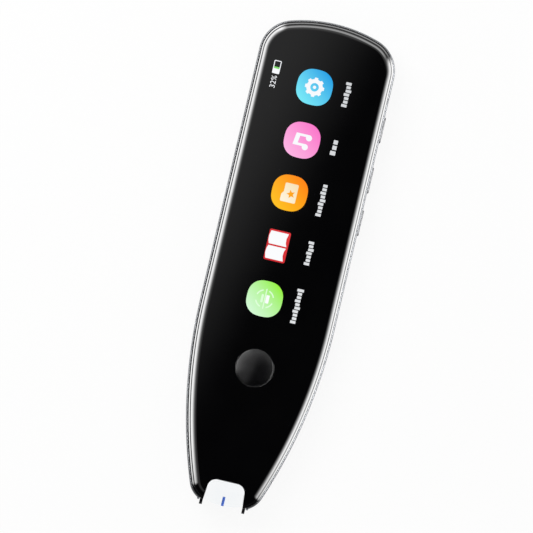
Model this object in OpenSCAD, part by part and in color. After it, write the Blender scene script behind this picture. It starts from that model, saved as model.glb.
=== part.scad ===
// Handheld translator: a scanning pen with a touch screen.
// The pen lies on its back. X is across it (the side keys are on +X), Y is along it
// (tip at -Y, camera end at +Y), Z goes from the rear face to the glass. Millimetres.

/* [Body] */
// Length from the feet of the scan trigger to the camera end
body_len = 150; // [125:1:180]
// Width of the straight part
body_w = 41.7; // [34:0.1:50]
// Thickness from the rear face to the glass
body_t = 12.2; // [10.1:0.1:15]
// Radius of the arc across the camera end
end_r = 45; // [34:1:60]
// Radius of the two corners at the camera end
corner_r = 10.5; // [8:0.5:12]
// Length of the tapering part, from the feet
taper_len = 60; // [50:1:72]
// Radius of the two corners at the tip
tip_r = 7; // [6.2:0.1:8.4]

/* [Rear cover] */
// Wall of the rear cover
wall = 1.3; // [1:0.05:1.6]
// How far the rounding of the rear edge reaches in from the side
back_in = 5; // [3.5:0.1:6]
// How far the rounding of the rear edge reaches up the side
back_up = 3.6; // [2.6:0.1:4.4]
// How far the rounding of the upper edge reaches in from the side
seam_in = 0.45; // [0.3:0.05:0.6]
// How far the rounding of the upper edge reaches down the side
seam_up = 2; // [1.6:0.1:2.4]

/* [Frame and glass] */
// Height of the frame's visible band
band_h = 1.5; // [1.2:0.1:2]
// Step from the rear cover's side in to the frame's band
band_step = 0.5; // [0.05:0.05:0.7]
// Radius of the rounding on top of the band
band_r = 1.5; // [1.2:0.1:2]
// Wall of the skirt with which the frame sits in the rear cover
skirt_t = 1; // [0.8:0.1:1.4]
// Thickness of the plate under the screen
plate_t = 0.8; // [0.6:0.1:1.2]
// Thickness of the cover glass
glass_t = 1; // [0.8:0.05:1.2]
// Step from the rear cover's side in to the glass
glass_step = 1.3; // [0.9:0.05:1.5]
// Width of the rounded edge of the glass
glass_edge = 1.5; // [1.2:0.1:1.8]
// Radius of the rounded edge of the glass
glass_edge_r = 3; // [2.5:0.1:4]
// Thickness of the adhesive under the glass
bond_t = 0.15; // [0.1:0.05:0.25]

/* [Screen] */
// From the camera end to the screen module
screen_top = 11; // [10:0.5:16]
// Thickness of the liquid crystal panel
panel_t = 1.1; // [0.9:0.1:1.4]
// Thickness of the backlight
backlight_t = 1.1; // [0.9:0.1:1.4]
// Thickness of the foam tape under the backlight
tape_t = 0.2; // [0.1:0.05:0.3]

/* [Home key] */
// From the camera end to the middle of the home key
home_from_top = 106.2; // [89:0.1:127]
// Diameter of the home key
home_d = 11.2; // [9.3:0.1:13.5]
// Travel of the home key
home_travel = 0.35; // [0.2:0.05:0.5]
// Rise of the home key's domed face
home_dome = 0.35; // [0.1:0.05:0.5]

/* [Side keys] */
// From the camera end to the power key
power_from_top = 28; // [26:0.1:30]
// From the camera end to the volume up key
up_from_top = 43.5; // [41:0.1:46]
// From the camera end to the volume down key
down_from_top = 56.7; // [55:0.1:59]
// Length of each side key
key_len = 8; // [6.6:0.1:9.6]
// Height of each side key
key_h = 2; // [1.6:0.1:2.4]
// How far a side key stands out
key_proud = 0.35; // [0.25:0.05:0.8]
// Travel of a side key
key_travel = 0.3; // [0.2:0.05:0.5]

/* [Tip] */
// Width of the scan mouth between the legs of the trigger frame
mouth_w = 12.2; // [10:0.1:14.6]
// Wall of the trigger frame
trigger_wall = 0.9; // [0.75:0.05:1.1]
// Inner height of the scan mouth, from the feet to the crown of the trigger frame
mouth_h = 8.6; // [7.2:0.1:10.3]
// How far the feet stand out of the shell
foot_proud = 1; // [0.9:0.1:1.6]
// Travel of the trigger frame
trigger_travel = 0.8; // [0.5:0.05:0.9]
// Width of the notch for the tip guard, between its corners
notch_w = 11.4; // [9.5:0.1:14.2]
// Slope of the notch's sides, which open towards the tip
notch_flare = 5; // [2:0.5:6]
// From the feet to the top of the notch
notch_h = 8.6; // [7.2:0.1:11]
// Radius of the notch's corners
notch_r = 2.7; // [2.2:0.1:4.2]

/* [Camera and speaker] */
// From the camera end to the middle of the camera
camera_from_top = 10; // [9.6:0.1:11]
// Outer diameter of the camera's ring
ring_d = 7.5; // [6.6:0.1:9]
// How far the ring stands out of the rear face
ring_proud = 0.8; // [0.5:0.1:1.2]
// From the camera end to the middle of the speaker
speaker_from_top = 24.5; // [23:0.5:28]
// Diameter of one speaker hole
hole_d = 1; // [0.8:0.05:1.2]
// Spacing of the speaker holes along a row
hole_pitch = 2; // [1.7:0.05:2.2]
// Spacing of the rings of speaker holes
hole_ring = 1.75; // [1.5:0.05:1.9]

/* [Battery and boards] */
// Thickness of the circuit boards
board_t = 1; // [0.8:0.1:1.2]
// Length of the board at the camera end
top_board_len = 31; // [29:0.5:33]
// Radius of the board screws' shanks
screw_r = 0.7; // [0.5:0.05:0.8]
// Width of the charging port's shell
port_w = 8.94; // [8.94]
// Height of the charging port's shell
port_h = 3.16; // [3.16]

/* [Fits] */
// Gap around a key in its hole
key_gap = 0.15; // [0.1:0.01:0.2]
// Gap between the trigger frame and its channel
slide_gap = 0.15; // [0.1:0.01:0.2]
// Gap between pieces that are assembled side by side
gap = 0.1; // [0.05:0.01:0.15]

/* [Hidden] */
$fn = 48;

eps = 0.01;
big = 2 * body_len;

// Levels above the table
z_back = ring_proud;
z_floor = z_back + wall;
z_top = z_back + body_t;
z_glass = z_top - glass_t;
z_rim = z_glass - bond_t;
z_seam = z_rim - band_h;
z_panel = z_glass - bond_t - panel_t;
z_backlight = z_panel - backlight_t;
z_plate_top = z_backlight - tape_t;
z_plate = z_plate_top - plate_t;
z_board = z_plate - board_t;
flex_t = 0.2;
z_flex = z_board - flex_t;
z_side = z_back + back_up;

// The outline seen from the front: every arc is tangent to the next one
half_w = body_w / 2;
y_end = body_len / 2;
y_foot = -body_len / 2;
y_tip = y_foot + foot_proud;
prong = 1.6;
tip_cx = mouth_w / 2 - prong;
tip_cy = y_tip + tip_r;
taper_y = y_foot + taper_len;
taper_dx = half_w - tip_cx;
taper_dy = taper_y - tip_cy;
taper_r = (taper_dx ^ 2 + taper_dy ^ 2 - tip_r ^ 2) / (2 * (taper_dx - tip_r));
taper_cx = half_w - taper_r;
tip_a = atan2(tip_cy - taper_y, tip_cx - taper_cx);
corner_cx = half_w - corner_r;
end_cy = y_end - end_r;
corner_cy = end_cy + sqrt((end_r - corner_r) ^ 2 - corner_cx ^ 2);
corner_a = atan2(corner_cy - end_cy, corner_cx);

function arc(cx, cy, r, a0, a1, n, first = 0) =
  [for (i = [first:n]) let (a = a0 + (a1 - a0) * i / n) [cx + r * cos(a), cy + r * sin(a)]];

function right_half(inset) = concat(
  arc(tip_cx, tip_cy, tip_r - inset, -90, tip_a, 6),
  arc(taper_cx, taper_y, taper_r - inset, tip_a, 0, 8, 1),
  arc(corner_cx, corner_cy, corner_r - inset, 0, corner_a, 6),
  arc(0, end_cy, end_r - inset, corner_a, 90, 5, 1)
);

function outline(inset = 0) =
  let (h = right_half(inset))
  concat(h, [for (i = [len(h) - 2:-1:0]) [-h[i].x, h[i].y]]);

// Half width of the outline on the right, at a place along the pen
function side_x(y, inset = 0) = y >= taper_y
  ? half_w - inset
  : taper_cx + sqrt((taper_r - inset) ^ 2 - (taper_y - y) ^ 2);

// A solid through outlines at several levels, each given as [z, inset]
module loft(levels) {
  n = len(outline());
  m = len(levels);
  polyhedron(
    points = [for (l = levels) for (p = outline(l[1])) [p.x, p.y, l[0]]],
    faces = concat(
      [[for (i = [0:n - 1]) i]],
      [for (k = [0:m - 2]) for (i = [0:n - 1])
        let (j = (i + 1) % n)
        [k * n + i, (k + 1) * n + i, (k + 1) * n + j, k * n + j]],
      [[for (i = [n - 1:-1:0]) (m - 1) * n + i]]
    )
  );
}

// Levels of the rounding of the rear edge: the quarter of an ellipse
function rounding(z0, inset, reach, rise, n) =
  [for (i = [0:n]) let (a = 90 * i / n) [z0 + rise * (1 - cos(a)), inset + reach * (1 - sin(a))]];

// Levels of the rear cover's outside, or of a shape that stands out of it by a little
function shell_levels(out) = concat(
  rounding(z_back - out, -out, back_in, back_up, 6),
  [for (i = [0:4])
    let (a = 90 * i / 4)
    [z_seam - seam_up * (1 - sin(a)), seam_in * (1 - cos(a)) - out]]
);

// Levels of an edge that a round of radius r takes off over a width w, from the side to the top
function round_edge(z, inset, w, r, n) =
  [for (i = [n:-1:0]) let (d = w * i / n) [z - r + sqrt(r ^ 2 - d ^ 2), inset + w - d]];

// A plate or a wall that follows the outline
module plate(z0, z1, inset, y0 = -big, y1 = big) {
  translate([0, 0, z0])
    linear_extrude(z1 - z0)
      intersection() {
        polygon(outline(inset));
        translate([-big, y0])
          square([2 * big, y1 - y0]);
      }
}

module ring_wall(z0, z1, outer, inner) {
  translate([0, 0, z0])
    linear_extrude(z1 - z0)
      difference() {
        polygon(outline(outer));
        polygon(outline(inner));
      }
}

// A box between two corners
module box(lo, hi) {
  translate(lo)
    cube(hi - lo);
}

// Flat shapes, then ways to extrude them
module obround(length, height) {
  square([length - height, height], center = true);
  for (s = [-1, 1])
    translate([s * (length - height) / 2, 0])
      circle(d = height);
}

// Half width of an arch at a level below its corners, with sides that open by an angle
function arch_x(hw, crown, r, low, flare) =
  hw - r + r * cos(flare) + (crown - r + r * sin(flare) - low) * tan(flare);

module arch2d(hw, crown, r, low, flare = 0) {
  x = arch_x(hw, crown, r, low, flare);
  polygon(concat(
    [[x, low]],
    arc(hw - r, crown - r, r, flare, 90, 8),
    arc(r - hw, crown - r, r, 90, 180 - flare, 8),
    [[-x, low]]
  ));
}

module along_x(x0, x1) {
  translate([x0, 0, 0])
    rotate([90, 0, 90])
      linear_extrude(x1 - x0)
        children();
}

module along_y(y0, y1) {
  translate([0, y1, 0])
    rotate([90, 0, 0])
      linear_extrude(y1 - y0)
        children();
}

module along_z(z0, z1) {
  translate([0, 0, z0])
    linear_extrude(z1 - z0)
      children();
}

// ---------------------------------------------------------------- places

// Tip: the trigger frame, its channel and what lies behind it
leg_x = mouth_w / 2 + trigger_wall;
arch_r = 3.6;
y_crown = y_foot + mouth_h + trigger_wall;
z_trigger = z_back + 1.2;
z_trigger_top = z_seam - slide_gap;
channel_t = 0.8;
lip = 0.2;
channel_x = leg_x + slide_gap;
y_channel = y_crown + trigger_travel + slide_gap;
y_behind = y_channel + channel_t;
lens_z = (z_trigger + z_trigger_top) / 2 - 0.5;
view_z0 = z_trigger + 0.6;
view_z1 = z_trigger_top - 0.6;
post_w = 1.6;
post_h = 2;
head_w = 3;
post_x = leg_x - post_w / 2 - head_w / 2;
view_x = post_x - post_w / 2 - slide_gap - 0.35;
head_h = 3.4;
head_t = 0.8;
y_head = y_behind + gap;
y_strike = y_head + head_t + trigger_travel + gap;
scan_x = leg_x;
y_scan = y_strike + 0.4;
scan_len = 9.3;
y_scan_back = y_scan + scan_len;
z_scan_top = z_plate + 1.2;
// The nose fits between the heads of the posts and between the two faces of the trigger frame
nose_r = min((z_trigger_top - z_trigger) / 2 - 1.1, post_x - head_w / 2 - gap);
lens_r = nose_r - 0.8;
sensor_w = 2 * nose_r - 1;
sensor_t = 0.9;
y_scan_board = y_scan_back + board_t;
spring_r = 1.3;
spring_wire = 0.3;
spring_y1 = y_scan + 3;

// Home key and main board
home_y = y_end - home_from_top;
home_r = home_d / 2;
flange = 0.8;
y_frame_plate = home_y + home_r + flange + 1.6;
main_inset = wall + 0.4;
y_main0 = y_scan_board + 2.4;
y_main1 = y_frame_plate - 0.3;
boss_r = 1.8;
boss_in = 3.7;
main_screws_y = [home_y + 0.6, y_main0 + 3];

// Screen
screen_gap = 0.2;
screen_in = wall + gap + skirt_t + screen_gap;
screen_x = half_w - screen_in;
screen_y0 = y_frame_plate + 0.5;
screen_y1 = y_end - screen_top;
panel_ledge = 1.5;

// Camera end
camera_y = y_end - camera_from_top;
ring_r = ring_d / 2;
ring_t = 0.85;
ring_flange = 0.85;
lens_cover_r = ring_r - ring_t;
module_w = 5;
z_module = z_floor + 0.8;
module_t = 2.5;
port_len = 6.7;
y_port = y_end - 0.4;
port_wall = 0.3;
y_top_board = y_end - 1.9 - top_board_len;
speaker_y = y_end - speaker_from_top;
speaker_w = 15;
speaker_l = 11;
gasket_t = 0.4;
contact_h = 1.2;

// Side keys
keys_y = [y_end - power_from_top, y_end - up_from_top, y_end - down_from_top];
z_key = (z_side + z_plate) / 2;
key_flange = 0.6;
key_flange_t = 0.6;
key_x1 = half_w + key_proud;
key_x0 = half_w - wall - gap - key_flange_t;
switch_x = key_x0 - 0.2 - key_travel - gap;
switch_t = 1.2;
strip_t = 0.6;
strip_x = switch_x - switch_t - strip_t;
bracket_t = 0.2;
strip_end = 6;
strip_y0 = keys_y[2] - strip_end;
strip_y1 = keys_y[0] + strip_end;
strip_h = 3.8;

// Battery
battery_tape_t = 0.2;
battery_x = half_w - back_in - gap;
battery_y0 = y_frame_plate + 2.5;
battery_y1 = y_top_board - 1.5;
z_battery = z_floor + battery_tape_t;
z_battery_top = z_flex - 0.15;

// Catches that hold the frame in the rear cover
catch_y = [camera_y - 7, (keys_y[1] + keys_y[2]) / 2 - 18, taper_y + 7];
catch_len = 4;
catch_h = 0.5;
catch_deep = 0.5;
z_catch = z_plate + 0.8;

// Microphone
mic_y = home_y + home_r + flange + 0.2;
mic_len = 2.2;
mic_h = 1.1;
mic_hole_len = 1.6;
mic_hole_h = 0.6;
z_mic = (z_seam + z_rim) / 2;
mic_x = side_x(mic_y - mic_len / 2) - wall - gap - skirt_t - 0.05;

// ---------------------------------------------------------------- shell

module speaker_holes() {
  // Rows of holes on rounded tracks around the middle row of three
  for (i = [-1:1])
    translate([i * hole_pitch, speaker_y, 0])
      cylinder(d = hole_d, h = z_floor + 1);
  for (ring = [1, 2]) {
    r = ring * hole_ring;
    straight = 2 * hole_pitch;
    count = ring == 1 ? 10 : 16;
    track = 2 * straight + 2 * PI * r;
    for (k = [0:count - 1]) {
      s = track * (k + 0.5) / count;
      p = on_track(s, r, straight);
      translate([p.x, speaker_y + p.y, 0])
        cylinder(d = hole_d, h = z_floor + 1);
    }
  }
}

// A point at distance s along a track of two straights and two half circles
function on_track(s, r, straight) =
  let (bend = PI * r, half = straight + bend, back = s >= half, t = back ? s - half : s)
  let (p = t < straight
    ? [t - straight / 2, r]
    : let (a = 90 - 180 * (t - straight) / bend) [straight / 2 + r * cos(a), r * sin(a)])
  back ? -p : p;

module channel(grow, low) {
  along_z(-1, z_seam - gap)
    arch2d(channel_x + grow, y_channel + grow, arch_r + grow, low);
}

module rear_cover() {
  color("#5c5e62")
    difference() {
      union() {
        difference() {
          loft(shell_levels(0));
          loft(concat(
            rounding(z_floor, wall, back_in - wall, back_up - wall, 4),
            [[z_seam + 1, wall]]
          ));
        }
        // Wall of the channel, which follows the shell and stands out of it as a thin lip
        intersection() {
          loft(shell_levels(lip));
          channel(channel_t, y_foot);
        }
        for (s = [-1, 1], y = catch_y)
          translate([s * (half_w - wall - catch_deep / 2 + eps), y, z_catch + catch_h / 2])
            cube([catch_deep + 2 * eps, catch_len, catch_h], center = true);
        for (y = [battery_y0 - 1, battery_y1 + 0.4])
          box([-battery_x + 4, y, z_floor - eps], [battery_x - 4, y + 0.6, z_floor + 1.8]);
      }
      channel(0, y_foot - 5);
      for (s = [-1, 1])
        box(
          [s * post_x - post_w / 2 - slide_gap, y_channel - 2, lens_z - post_h / 2 - slide_gap],
          [s * post_x + post_w / 2 + slide_gap, y_behind + 1, lens_z + post_h / 2 + slide_gap]
        );
      box([-view_x, y_channel - 1, view_z0], [view_x, y_behind + 1, view_z1]);
      translate([0, camera_y, -1])
        cylinder(r = ring_r + gap / 2, h = z_floor + 2);
      speaker_holes();
      for (y = keys_y)
        translate([0, y, z_key])
          along_x(half_w - wall - 1, half_w + 1)
            obround(key_len + 2 * key_gap, key_h + 2 * key_gap);
      translate([0, 0, z_board - port_h / 2])
        along_y(y_end - 6, y_end + 1)
          obround(port_w + 2 * key_gap, port_h + 2 * key_gap);
    }
}

module mid_frame() {
  color("#16171a")
    difference() {
      union() {
        // Band, closed to a bridge across the tip, which carries the guard and the end of the glass
        difference() {
          loft(concat(
            [[z_seam, band_step]],
            round_edge(z_rim, band_step, glass_step - band_step, band_r, 4)
          ));
          plate(z_seam - 1, z_rim + 1, wall + gap + skirt_t, y_scan, big);
        }
        ring_wall(z_plate, z_seam + eps, wall + gap, wall + gap + skirt_t);
        plate(z_plate, z_plate_top, wall + gap, y_frame_plate, y_end);
        for (s = [-1, 1], y = main_screws_y)
          translate([s * (side_x(y) - boss_in), y, z_plate])
            cylinder(r = boss_r, h = z_rim - z_plate - 0.6);
      }
      along_z(z_seam - 1, z_top)
        arch2d(notch_w / 2, y_foot + notch_h, notch_r, y_foot - 5, notch_flare);
      // Seat of the guard's tongue
      box(
        [-notch_w / 2, y_foot + notch_h - notch_r - 1, z_guard],
        [notch_w / 2, y_tongue + gap, z_rim + 1]
      );
      // Room for the channel, its posts and the nose of the scan head
      along_z(z_plate - 1, z_seam)
        arch2d(channel_x + channel_t + gap, y_strike + 2, arch_r, y_foot - 5);
      for (s = [-1, 1], y = catch_y)
        translate([s * (half_w - wall), y, z_catch + catch_h / 2])
          cube([2 * (catch_deep + gap), catch_len + 0.4, catch_h + 2 * gap], center = true);
      for (s = [-1, 1], y = main_screws_y)
        translate([s * (side_x(y) - boss_in), y, z_plate - 1])
          cylinder(r = screw_r + 0.02, h = 2.7);
      for (s = [-1, 1])
        translate([s * top_screw_x, top_screw_y, z_plate - 1])
          cylinder(r = screw_r + 0.02, h = plate_t + 2);
      for (y = keys_y)
        translate([0, y, z_key])
          along_x(key_x0 - 1, half_w)
            obround(key_len + 2 * key_flange + 2 * gap, key_h + 2 * key_flange + 2 * gap);
      // Room for the side keys' board, where it reaches the plate
      box(
        [strip_x - bracket_t - gap, strip_y0 - gap, z_plate - 1],
        [key_x0, strip_y1 + gap, z_key + strip_h / 2 + gap]
      );
      translate([-half_w, mic_y, z_mic])
        along_x(-1, half_w)
          obround(mic_hole_len, mic_hole_h);
    }
}

top_screw_x = half_w - 6.1;
top_screw_y = camera_y - 4;

// The tip guard's seat in the frame
z_guard = z_seam + 0.55;
y_tongue = y_foot + notch_h + 2;

module front_glass() {
  color("#0a0a0c")
    difference() {
      loft(concat(
        [[z_glass, glass_step]],
        round_edge(z_top, glass_step, glass_edge, glass_edge_r, 6)
      ));
      along_z(z_glass - 1, z_top + 1)
        arch2d(notch_w / 2, y_foot + notch_h, notch_r, y_foot - 5, notch_flare);
      translate([0, home_y, z_glass - 1])
        cylinder(r = home_r + key_gap, h = glass_t + 2);
    }
}

module glass_adhesive() {
  color("#202020")
    difference() {
      ring_wall(z_rim, z_glass, glass_step + 0.3, wall + gap + skirt_t);
      along_z(z_rim - 1, z_glass + 1)
        arch2d(notch_w / 2 + gap, y_foot + notch_h + gap, notch_r + gap, y_foot - 5, notch_flare);
    }
}

// ---------------------------------------------------------------- keys

module home_button() {
  dome_r = (home_r ^ 2 + home_dome ^ 2) / (2 * home_dome);
  color("#1a1a1c")
    translate([0, home_y, 0]) {
      intersection() {
        translate([0, 0, z_glass - 0.2])
          cylinder(r = home_r, h = glass_t + 0.15);
        translate([0, 0, z_top - 0.05 - dome_r])
          sphere(r = dome_r, $fn = 96);
      }
      translate([0, 0, z_glass - gap - 0.9])
        cylinder(r = home_r + flange, h = 0.9);
      translate([0, 0, z_home_stem])
        cylinder(r = 2.4, h = z_glass - z_home_stem - 0.5);
    }
}

home_switch_h = 1.4;
z_home_stem = z_plate + home_switch_h + home_travel + gap;

module home_key_pad() {
  // A thin silicone dome between the board and the flange of the key
  base = 5.4;
  top_r = 3.4;
  skin = 0.45;
  z_under = z_glass - gap - 0.9;
  color("#d8d8d8")
    translate([0, home_y, 0])
      rotate_extrude()
        polygon([
          [base, z_plate], [base + skin + 0.6, z_plate], [base + skin + 0.6, z_plate + skin],
          [top_r + skin, z_under], [top_r, z_under]
        ]);
}

module home_switch() {
  color("#b8b8ba")
    translate([0, home_y, z_plate]) {
      along_z(0, home_switch_h - 0.3)
        square(4.2, center = true);
      along_z(home_switch_h - 0.3 - eps, home_switch_h)
        circle(r = 1);
    }
}

module side_key(y) {
  color("#3c3d40")
    translate([0, y, z_key]) {
      along_x(key_x0 + key_flange_t - eps, key_x1)
        obround(key_len, key_h);
      // The flange stops where the rear edge starts to round
      along_x(key_x0, key_x0 + key_flange_t)
        difference() {
          obround(key_len + 2 * key_flange, key_h + 2 * key_flange);
          translate([-big, z_side - z_key - big])
            square([2 * big, big]);
        }
      along_x(key_x0 - 0.2, key_x0 + eps)
        circle(r = 0.8);
    }
}

module side_key_board() {
  color("#1f5a3c")
    box([strip_x, strip_y0, z_key - strip_h / 2], [strip_x + strip_t, strip_y1, z_key + strip_h / 2]);
}

module side_key_bracket() {
  color("#a9abad") {
    box([strip_x - bracket_t, strip_y0, z_key - strip_h / 2], [strip_x, strip_y1, z_plate]);
    box([strip_x, strip_y0 - 1.2, z_plate - bracket_t], [strip_x + 2, strip_y0 - 0.2, z_plate]);
    box([strip_x - bracket_t, strip_y0 - 1.2, z_plate - 1], [strip_x, strip_y0 + eps, z_plate]);
  }
}

module side_switches() {
  color("#c4c4c6")
    for (y = keys_y)
      translate([0, y, z_key]) {
        along_x(strip_x + strip_t, switch_x - 0.3)
          square([4, 2.4], center = true);
        along_x(switch_x - 0.3 - eps, switch_x)
          circle(r = 0.7);
      }
}

// ---------------------------------------------------------------- screen

module display_panel() {
  color("#15171c")
    box([-screen_x, screen_y0, z_panel], [screen_x, screen_y1, z_panel + panel_t]);
}

module backlight() {
  color("#dcdcd8")
    box([-screen_x, screen_y0 + panel_ledge, z_backlight], [screen_x, screen_y1, z_panel]);
}

module display_tape() {
  color("#303030")
    along_z(z_plate_top, z_backlight)
      difference() {
        translate([-screen_x, screen_y0 + panel_ledge])
          square([2 * screen_x, screen_y1 - screen_y0 - panel_ledge]);
        translate([-screen_x + 3, screen_y0 + panel_ledge + 3])
          square([2 * screen_x - 6, screen_y1 - screen_y0 - panel_ledge - 6]);
      }
}

// The screen's flex hangs from the panel's ledge and ends on its connector
flex_x0 = home_r + flange + 1;
flex_w = 7;
connector_h = 0.9;
y_connector = y_main1 - 3.6;

module display_flex() {
  color("#c77b2a") {
    box([flex_x0, screen_y0 - flex_t, z_panel - flex_t], [flex_x0 + flex_w, screen_y0 + 1, z_panel]);
    box(
      [flex_x0, screen_y0 - flex_t, z_plate + connector_h],
      [flex_x0 + flex_w, screen_y0, z_panel]
    );
    box(
      [flex_x0, y_connector, z_plate + connector_h],
      [flex_x0 + flex_w, screen_y0, z_plate + connector_h + flex_t]
    );
  }
}

// ---------------------------------------------------------------- main board

module main_board() {
  color("#1f5a3c")
    difference() {
      plate(z_board, z_plate, main_inset, y_main0, y_main1);
      for (s = [-1, 1], y = main_screws_y)
        translate([s * (side_x(y) - boss_in), y, z_board - 1])
          cylinder(r = screw_r + 0.1, h = board_t + 2);
    }
}

// The chips hang under the board: can_y is the middle of the shield can
can_y = (y_main0 + y_main1) / 2 - 2.4;
can_w = 17;
can_l = 13;
can_h = 1.9;
can_t = 0.2;

module chip(x, y, w, l, h, tone) {
  color(tone)
    box([x - w / 2, y - l / 2, z_board - h], [x + w / 2, y + l / 2, z_board]);
}

module processor() {
  chip(-3, can_y, 9, 9, 1.1, "#26282b");
}

module memory_chip() {
  chip(4.9, can_y, 5, 8, 1, "#2b2d30");
}

module shield_can() {
  color("#b5b8bb")
    difference() {
      box([-can_w / 2, can_y - can_l / 2, z_board - can_h], [can_w / 2, can_y + can_l / 2, z_board]);
      box(
        [-can_w / 2 + can_t, can_y - can_l / 2 + can_t, z_board - can_h + can_t],
        [can_w / 2 - can_t, can_y + can_l / 2 - can_t, z_board + 1]
      );
    }
}

module wireless_module() {
  chip(can_w / 2 + 2.3, can_y, 3.6, 8, 1.5, "#9b9ea1");
}

module power_chip() {
  chip(-can_w / 2 - 2.2, can_y, 3, 3, 0.9, "#26282b");
}

battery_plug_x = 8;
battery_plug_w = 4;

module board_connectors() {
  color("#e6dfc8") {
    box(
      [flex_x0 + 0.4, y_connector, z_plate],
      [flex_x0 + flex_w - 0.4, y_connector + 2.4, z_plate + connector_h]
    );
    box(
      [battery_plug_x - battery_plug_w / 2, y_main1 - 3, z_board - 1.6],
      [battery_plug_x + battery_plug_w / 2, y_main1 - 0.4, z_board]
    );
  }
}

// Screws hold both boards to the frame: [x, y, length above the board's underside]
screws = concat(
  [for (s = [-1, 1], y = main_screws_y) [s * (side_x(y) - boss_in), y, board_t + 1.5]],
  [for (s = [-1, 1]) [s * top_screw_x, top_screw_y, board_t + plate_t - gap]]
);

module board_screws() {
  color("#9a9da0")
    for (s = screws)
      translate([s.x, s.y, 0])
        difference() {
          union() {
            translate([0, 0, z_board - 0.6])
              cylinder(r = 1.25, h = 0.6);
            translate([0, 0, z_board - eps])
              cylinder(r = screw_r, h = s.z + eps);
          }
          for (a = [0, 90])
            translate([0, 0, z_board - 0.6])
              rotate(a)
                cube([1.6, 0.3, 0.5], center = true);
        }
}

module top_board() {
  color("#1f5a3c")
    difference() {
      plate(z_board, z_plate, main_inset, y_top_board, y_end);
      box([strip_x - bracket_t - 0.2, y_top_board - 1, z_board - 1], [big, strip_y1 + 1, z_plate + 1]);
      for (s = [-1, 1])
        translate([s * top_screw_x, top_screw_y, z_board - 1])
          cylinder(r = screw_r + 0.1, h = board_t + 2);
    }
}

module link_flex() {
  color("#c77b2a")
    box([-12, y_main1 - 3.5, z_flex], [-5, y_top_board + 2.5, z_board]);
}

module battery() {
  color("#c9ccd0")
    box([-battery_x, battery_y0, z_battery], [battery_x, battery_y1, z_battery_top]);
}

module battery_tape() {
  color("#f0f0f0")
    for (s = [-1, 1])
      box(
        [s * battery_x / 2 - 4, battery_y0 + 3, z_floor],
        [s * battery_x / 2 + 4, battery_y1 - 3, z_battery]
      );
}

module battery_lead() {
  for (s = [-1, 1])
    color(s > 0 ? "#b32020" : "#202020")
      translate([battery_plug_x + s * 0.8, y_main1 - 0.4, z_board - 0.8])
        rotate([-90, 0, 0])
          cylinder(r = 0.45, h = battery_y0 - y_main1 + 0.4);
}

// ---------------------------------------------------------------- camera end

module usb_port() {
  color("#c8cacc")
    translate([0, 0, z_board - port_h / 2])
      difference() {
        along_y(y_port - port_len, y_port)
          obround(port_w, port_h);
        along_y(y_port - port_len + port_wall, y_port + 1)
          obround(port_w - 2 * port_wall, port_h - 2 * port_wall);
      }
}

module usb_tongue() {
  color("#202020")
    translate([0, 0, z_board - port_h / 2])
      along_y(y_port - port_len + port_wall, y_port - 0.9)
        square([6.7, 0.7], center = true);
}

module camera_ring() {
  color("#2c2d30")
    translate([0, camera_y, 0])
      difference() {
        union() {
          rotate_extrude()
            polygon([
              [0, 0], [ring_r - 0.3, 0], [ring_r, 0.3], [ring_r, z_floor + eps], [0, z_floor + eps]
            ]);
          translate([0, 0, z_floor])
            cylinder(r = ring_r + ring_flange, h = z_module - z_floor);
        }
        translate([0, 0, -1])
          cylinder(r = lens_cover_r, h = z_module + 2);
        // Room for the charging port, where a thin body brings it down to the flange
        translate([0, -camera_y, 0])
          box([-port_w / 2 - gap, y_port - port_len - gap, z_board - port_h - gap], [big, big, big]);
      }
}

module camera_lens() {
  dome_r = 9;
  z_low = 0.15;
  color("#14161c")
    translate([0, camera_y, 0])
      intersection() {
        translate([0, 0, z_low])
          cylinder(r = lens_cover_r - 0.02, h = 1.3);
        translate([0, 0, z_low + dome_r])
          sphere(r = dome_r, $fn = 96);
      }
}

module camera_module() {
  color("#1c1d20")
    translate([0, camera_y, 0]) {
      along_z(z_module, z_module + module_t)
        square(module_w, center = true);
      translate([0, 0, 1.65])
        cylinder(r = 2.1, h = z_module - 1.65 + eps);
    }
}

module camera_pad() {
  color("#404040")
    along_z(z_module + module_t, z_board)
      translate([0, camera_y])
        square(module_w - 0.6, center = true);
}

module speaker() {
  color("#2a2b2e")
    translate([0, speaker_y, 0]) {
      along_z(z_floor + gasket_t, z_board - contact_h)
        difference() {
          square([speaker_w, speaker_l], center = true);
          for (sx = [-1, 1], sy = [-1, 1])
            translate([sx * speaker_w / 2, sy * speaker_l / 2])
              square(1.2, center = true);
        }
    }
}

module speaker_gasket() {
  color("#3a3a3a")
    translate([0, speaker_y, 0])
      along_z(z_floor, z_floor + gasket_t)
        difference() {
          square([speaker_w, speaker_l], center = true);
          square([speaker_w - 2, speaker_l - 2], center = true);
        }
}

module speaker_mesh() {
  color("#101010")
    translate([0, speaker_y, 0])
      along_z(z_floor, z_floor + 0.12)
        square([speaker_w - 2.2, speaker_l - 2.2], center = true);
}

module speaker_contacts() {
  // Two bent strips between the speaker and the board
  z0 = z_board - contact_h;
  color("#d9b45a")
    for (s = [-1, 1])
      translate([s * 5, speaker_y - 3, 0]) {
        box([-0.5, 0, z0], [0.5, 2.4, z0 + 0.15]);
        box([-0.5, 2.25, z0], [0.5, 2.4, z_board]);
        box([-0.5, 1.2, z_board - 0.15], [0.5, 2.4, z_board]);
      }
}

module antenna() {
  color("#c77b2a")
    box([-battery_x + 0.2, y_top_board + 2, z_floor], [-speaker_w / 2 - 2, speaker_y + 9, z_floor + 0.2]);
}

module microphone() {
  color("#c9b27a")
    box(
      [-mic_x + 0.8, mic_y - mic_len / 2, z_plate],
      [-mic_x + 3.8, mic_y + mic_len / 2, z_plate + mic_h]
    );
}

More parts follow.
